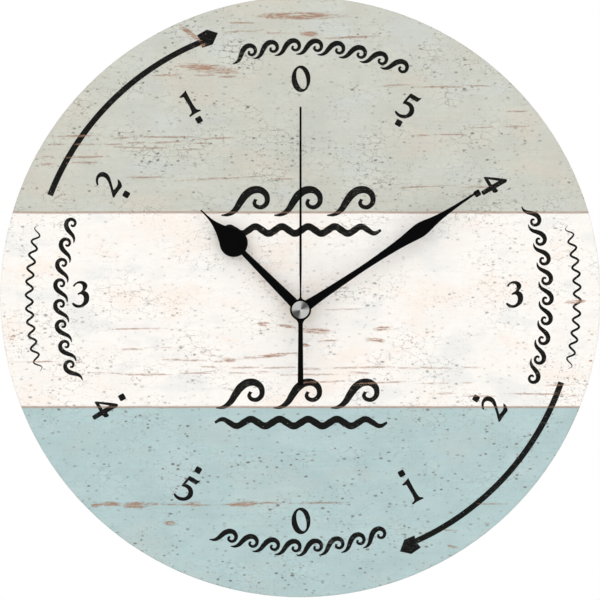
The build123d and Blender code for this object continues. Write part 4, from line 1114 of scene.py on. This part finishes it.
class TIDE_OT_add_coil(bpy.types.Operator):
    """Wind the coil: one turn of wire, repeated along the bobbin over the layer below"""
    bl_idname = "tide.add_coil"
    bl_label = "Add coil"

    def execute(self, context):
        low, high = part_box("coil_winding")
        middle = (low + high) / 2
        radius, length = (high.z - low.z) / 2, high.x - low.x
        wire = 0.17 * MM
        upright = (0, math.radians(90), 0)
        bpy.ops.mesh.primitive_torus_add(major_radius=radius - wire, minor_radius=wire, major_segments=28,
                                         minor_segments=5, location=(low.x + wire, middle.y, middle.z),
                                         rotation=upright)
        turn = context.object
        settle(turn)
        row = turn.modifiers.new("turns", "ARRAY")
        row.count = int(length / (2 * wire))
        row.use_relative_offset, row.use_constant_offset = False, True
        row.constant_offset_displace = (2 * wire, 0, 0)
        bpy.ops.object.modifier_apply(modifier="turns")
        below = cylinder(radius - 1.3 * wire, length - 0.02 * MM, middle, upright, 28)
        coil = joined([turn, below], "wound_coil")
        bpy.ops.object.shade_smooth_by_angle(angle=math.radians(50))
        wear(coil, wire_material(context.scene.tide_movement))
        carry(coil, "dial_and_case")
        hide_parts("coil_winding")
        return {"FINISHED"}


class TIDE_OT_add_cell(bpy.types.Operator):
    """Sleeve the cell: a shrunk sleeve rolled over both rims, and bare metal ends"""
    bl_idname = "tide.add_cell"
    bl_label = "Add cell"

    def execute(self, context):
        low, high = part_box("battery_can")
        middle = (low + high) / 2
        radius, length = (high.z - low.z) / 2, high.x - low.x
        sleeve_lap = 1.1 * MM
        cell = cylinder(radius, length, middle, (0, math.radians(90), 0), 64)
        for side, button in ((1, 0.22), (-1, -0.15)):
            edit(cell, lambda face: face.normal.x * side > 0.9)
            for thickness, depth in ((1.1, 0), (0.12, -0.35), (1.2, 0), (0.3, button)):
                bpy.ops.mesh.inset(thickness=thickness * MM, depth=depth * MM)
            bpy.ops.object.mode_set(mode="OBJECT")

        def on_rim(first, second):
            """Whether an edge is one of the two rims' outer edges."""
            out = min((first.yz - middle.yz).length, (second.yz - middle.yz).length) > radius * 0.99
            return out and abs(first.x - second.x) < 1e-7 and min(first.x - low.x, high.x - first.x) < 1e-6

        edit(cell, on_rim, "EDGE")
        bpy.ops.mesh.bevel(offset=0.5 * MM, segments=4, affect="EDGES")
        bpy.ops.object.mode_set(mode="OBJECT")
        close(cell)
        cell.name = cell.data.name = "sleeved_cell"
        wear(cell, sleeve_material(context.scene.tide_movement),
             metal_material("cell_end", (0.78, 0.78, 0.77), 0.3, (3.0, 3.0, 0.4)))
        for face in cell.data.polygons:
            face.material_index = int((face.center.yz - middle.yz).length < radius - sleeve_lap - 0.05 * MM)
        carry(cell, "cell")
        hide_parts("battery_can")
        return {"FINISHED"}


class TIDE_OT_add_case_marks(bpy.types.Operator):
    """Raise the turning arrow by the knob and the two signs on the floor of the cell bay"""
    bl_idname = "tide.add_case_marks"
    bl_label = "Add case marks"

    def execute(self, context):
        plastic = moulded_material("raised_marks", (0.20, 0.20, 0.21), 0.38, 0.004)
        knob_low, knob_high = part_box("setting_knob")
        knob = (knob_low + knob_high) / 2 / MM
        cell_low, cell_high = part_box("battery_can")
        signs_up = (cell_low.z + cell_high.z) / 2 / MM - 5.0
        floor_depth = -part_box("train_plate")[0].y / MM
        reach, half = 1.7, 0.35
        bar = [(x, y, 1) for x, y in ((-reach, -half), (reach, -half), (reach, half), (-reach, half))]
        arm = ((reach, -half), (reach, half), (half, half))
        cross = []
        for quarter in range(4):
            turn = Matrix.Rotation(math.radians(90 * quarter), 2)
            cross += [(*(turn @ Vector(point)), 1) for point in arm]
        for name, loop, thickness, place in (
                ("knob_arrow", self.turning_arrow(), 0.2, from_behind(knob.x, 0.05, knob.z)),
                ("bay_minus", bar, 0.24, from_behind(-17.0, floor_depth, signs_up)),
                ("bay_plus", cross, 0.24, from_behind(17.0, floor_depth, signs_up))):
            piece = outline_piece(name, [loop], thickness)
            piece.data.transform(place)
            wear(piece, plastic)
            carry(piece, "dial_and_case")
        return {"FINISHED"}

    def turning_arrow(self):
        """The loop of the bent arrow round the knob."""
        radius, half, tail, neck, tip = 6.6, 0.35, 65, -30, -43
        head = [(out * math.sin(math.radians(turn)), out * math.cos(math.radians(turn)))
                for out, turn in ((radius + 1, neck), (radius, tip), (radius - 1, neck))]
        return bent_arrow((tail, radius, half), (neck, radius, half), head, steps=10)


# Stage

LAMPS = (
    # name, place and size in metres; its power is one of the stage's looks
    ("key", (-1.1, -2.0, 1.3), 2.4), ("fill", (1.5, -1.9, 0.9), 1.8), ("back", (0.9, 1.9, 1.2), 1.6),
)
PICTURE_ACROSS, PICTURE_UP = -0.24, 4.34  # middle of the picture from the arbor, in millimetres
FLOOR_HEIGHT, FLOOR_RADIUS = -0.5, 4.0


class TIDE_OT_set_stage(bpy.types.Operator):
    """Light the clock softly on white, with a pale floor far below, and set the camera straight in front"""
    bl_idname = "tide.set_stage"
    bl_label = "Set the stage"

    def execute(self, context):
        scene, looks = context.scene, context.scene.tide_stage
        scene.view_settings.view_transform = "Standard"
        scene.world = self.even_light(looks)
        self.add_floor(context)

        target = Vector((0, 0, MIDDLE_UP * MM))
        for name, place, size in LAMPS:
            aim = (target - Vector(place)).to_track_quat("-Z", "Y").to_euler()
            bpy.ops.object.light_add(type="AREA", location=place, rotation=aim)
            lamp = context.object
            lamp.name = lamp.data.name = name + "_lamp"
            lamp.data.size = size
            lamp.data.energy = getattr(looks, name + "_power")

        place = (PICTURE_ACROSS * MM, -FACE_DEPTH * MM - looks.camera_distance, PICTURE_UP * MM)
        bpy.ops.object.camera_add(location=place, rotation=(math.radians(90), 0, 0))
        camera = context.object
        camera.name = camera.data.name = "front_camera"
        camera.data.sensor_width = 36
        camera.data.lens = camera.data.sensor_width * looks.camera_distance / looks.view_width
        scene.camera = camera
        return {"FINISHED"}

    def even_light(self, looks):
        """A world that lights evenly and shows white to the camera, in mirrors and through glass."""
        sky = Paint("even_light", world=True)
        rays = [sky.node("ShaderNodeLightPath", output=ray)
                for ray in ("Is Camera Ray", "Is Glossy Ray", "Is Transmission Ray")]
        level = looks.ambient + reduce(sky.most, rays) * (1 - looks.ambient)
        light = sky.node("ShaderNodeBackground", {}, {"Color": (1, 1, 1, 1), "Strength": level})
        sky.node_out("ShaderNodeOutputWorld", light)
        return sky.block

    def add_floor(self, context):
        """A round pale floor far below the clock."""
        bpy.ops.mesh.primitive_circle_add(vertices=96, radius=FLOOR_RADIUS, fill_type="NGON",
                                          location=(0, 0, FLOOR_HEIGHT))
        floor = context.object
        settle(floor)
        edit(floor, lambda face: True)
        bpy.ops.mesh.inset(thickness=FLOOR_RADIUS / 2, depth=0)
        bpy.ops.object.mode_set(mode="OBJECT")
        floor.name = floor.data.name = "studio_floor"
        wear(floor, self.floor_material())

    def floor_material(self):
        """Pale floor that fades to the white background before its rim."""
        paint = Paint("pale_floor")
        fade_start, fade_end = 900.0, 3400.0
        faded = paint.rise(paint.span(paint.x, paint.y), fade_start, fade_end)
        grain = paint.noise(0.02, 2.0, 0.5, 1.0)
        colour = paint.times((0.86, 0.86, 0.85), 0.99 + grain * 0.02)
        pale = paint.node("ShaderNodeBsdfDiffuse", {}, {"Color": colour})
        white = paint.node("ShaderNodeEmission", {}, {"Color": (1, 1, 1, 1), "Strength": 1.0})
        both = paint.node("ShaderNodeMixShader", {}, {0: faded, 1: pale, 2: white})
        paint.node_out("ShaderNodeOutputMaterial", both)
        return paint.block


# The add-on

STEPS = (TIDE_OT_print_dial, TIDE_OT_add_numerals, TIDE_OT_add_dots, TIDE_OT_add_arrows, TIDE_OT_add_waves,
         TIDE_OT_add_wear, TIDE_OT_add_cap, TIDE_OT_finish_hands, TIDE_OT_finish_movement, TIDE_OT_add_coil,
         TIDE_OT_add_cell, TIDE_OT_add_case_marks, TIDE_OT_set_stage)


class TIDE_PT_panel(bpy.types.Panel):
    """The steps that dress the clock, in their order, and the looks they read"""
    bl_label = "Tide clock"
    bl_idname = "TIDE_PT_panel"
    bl_space_type = "VIEW_3D"
    bl_region_type = "UI"
    bl_category = "Tide clock"

    def draw(self, context):
        for step in STEPS:
            self.layout.operator(step.bl_idname)
        for name in LOOKS:
            box = self.layout.box()
            looks = getattr(context.scene, name)
            for key in looks.bl_rna.properties.keys():
                if key not in ("rna_type", "name"):
                    box.prop(looks, key)


def register():
    for group in LOOKS.values():
        bpy.utils.register_class(group)
    for name, group in LOOKS.items():
        setattr(bpy.types.Scene, name, bpy.props.PointerProperty(type=group))
    for step in STEPS + (TIDE_PT_panel,):
        bpy.utils.register_class(step)


def unregister():
    for step in reversed(STEPS + (TIDE_PT_panel,)):
        bpy.utils.unregister_class(step)
    for name, group in LOOKS.items():
        delattr(bpy.types.Scene, name)
        bpy.utils.unregister_class(group)


def main():
    """Registers the add-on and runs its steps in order."""
    register()
    for step in STEPS:
        area, action = step.bl_idname.split(".")
        getattr(getattr(bpy.ops, area), action)()


if __name__ == "__main__":
    main()
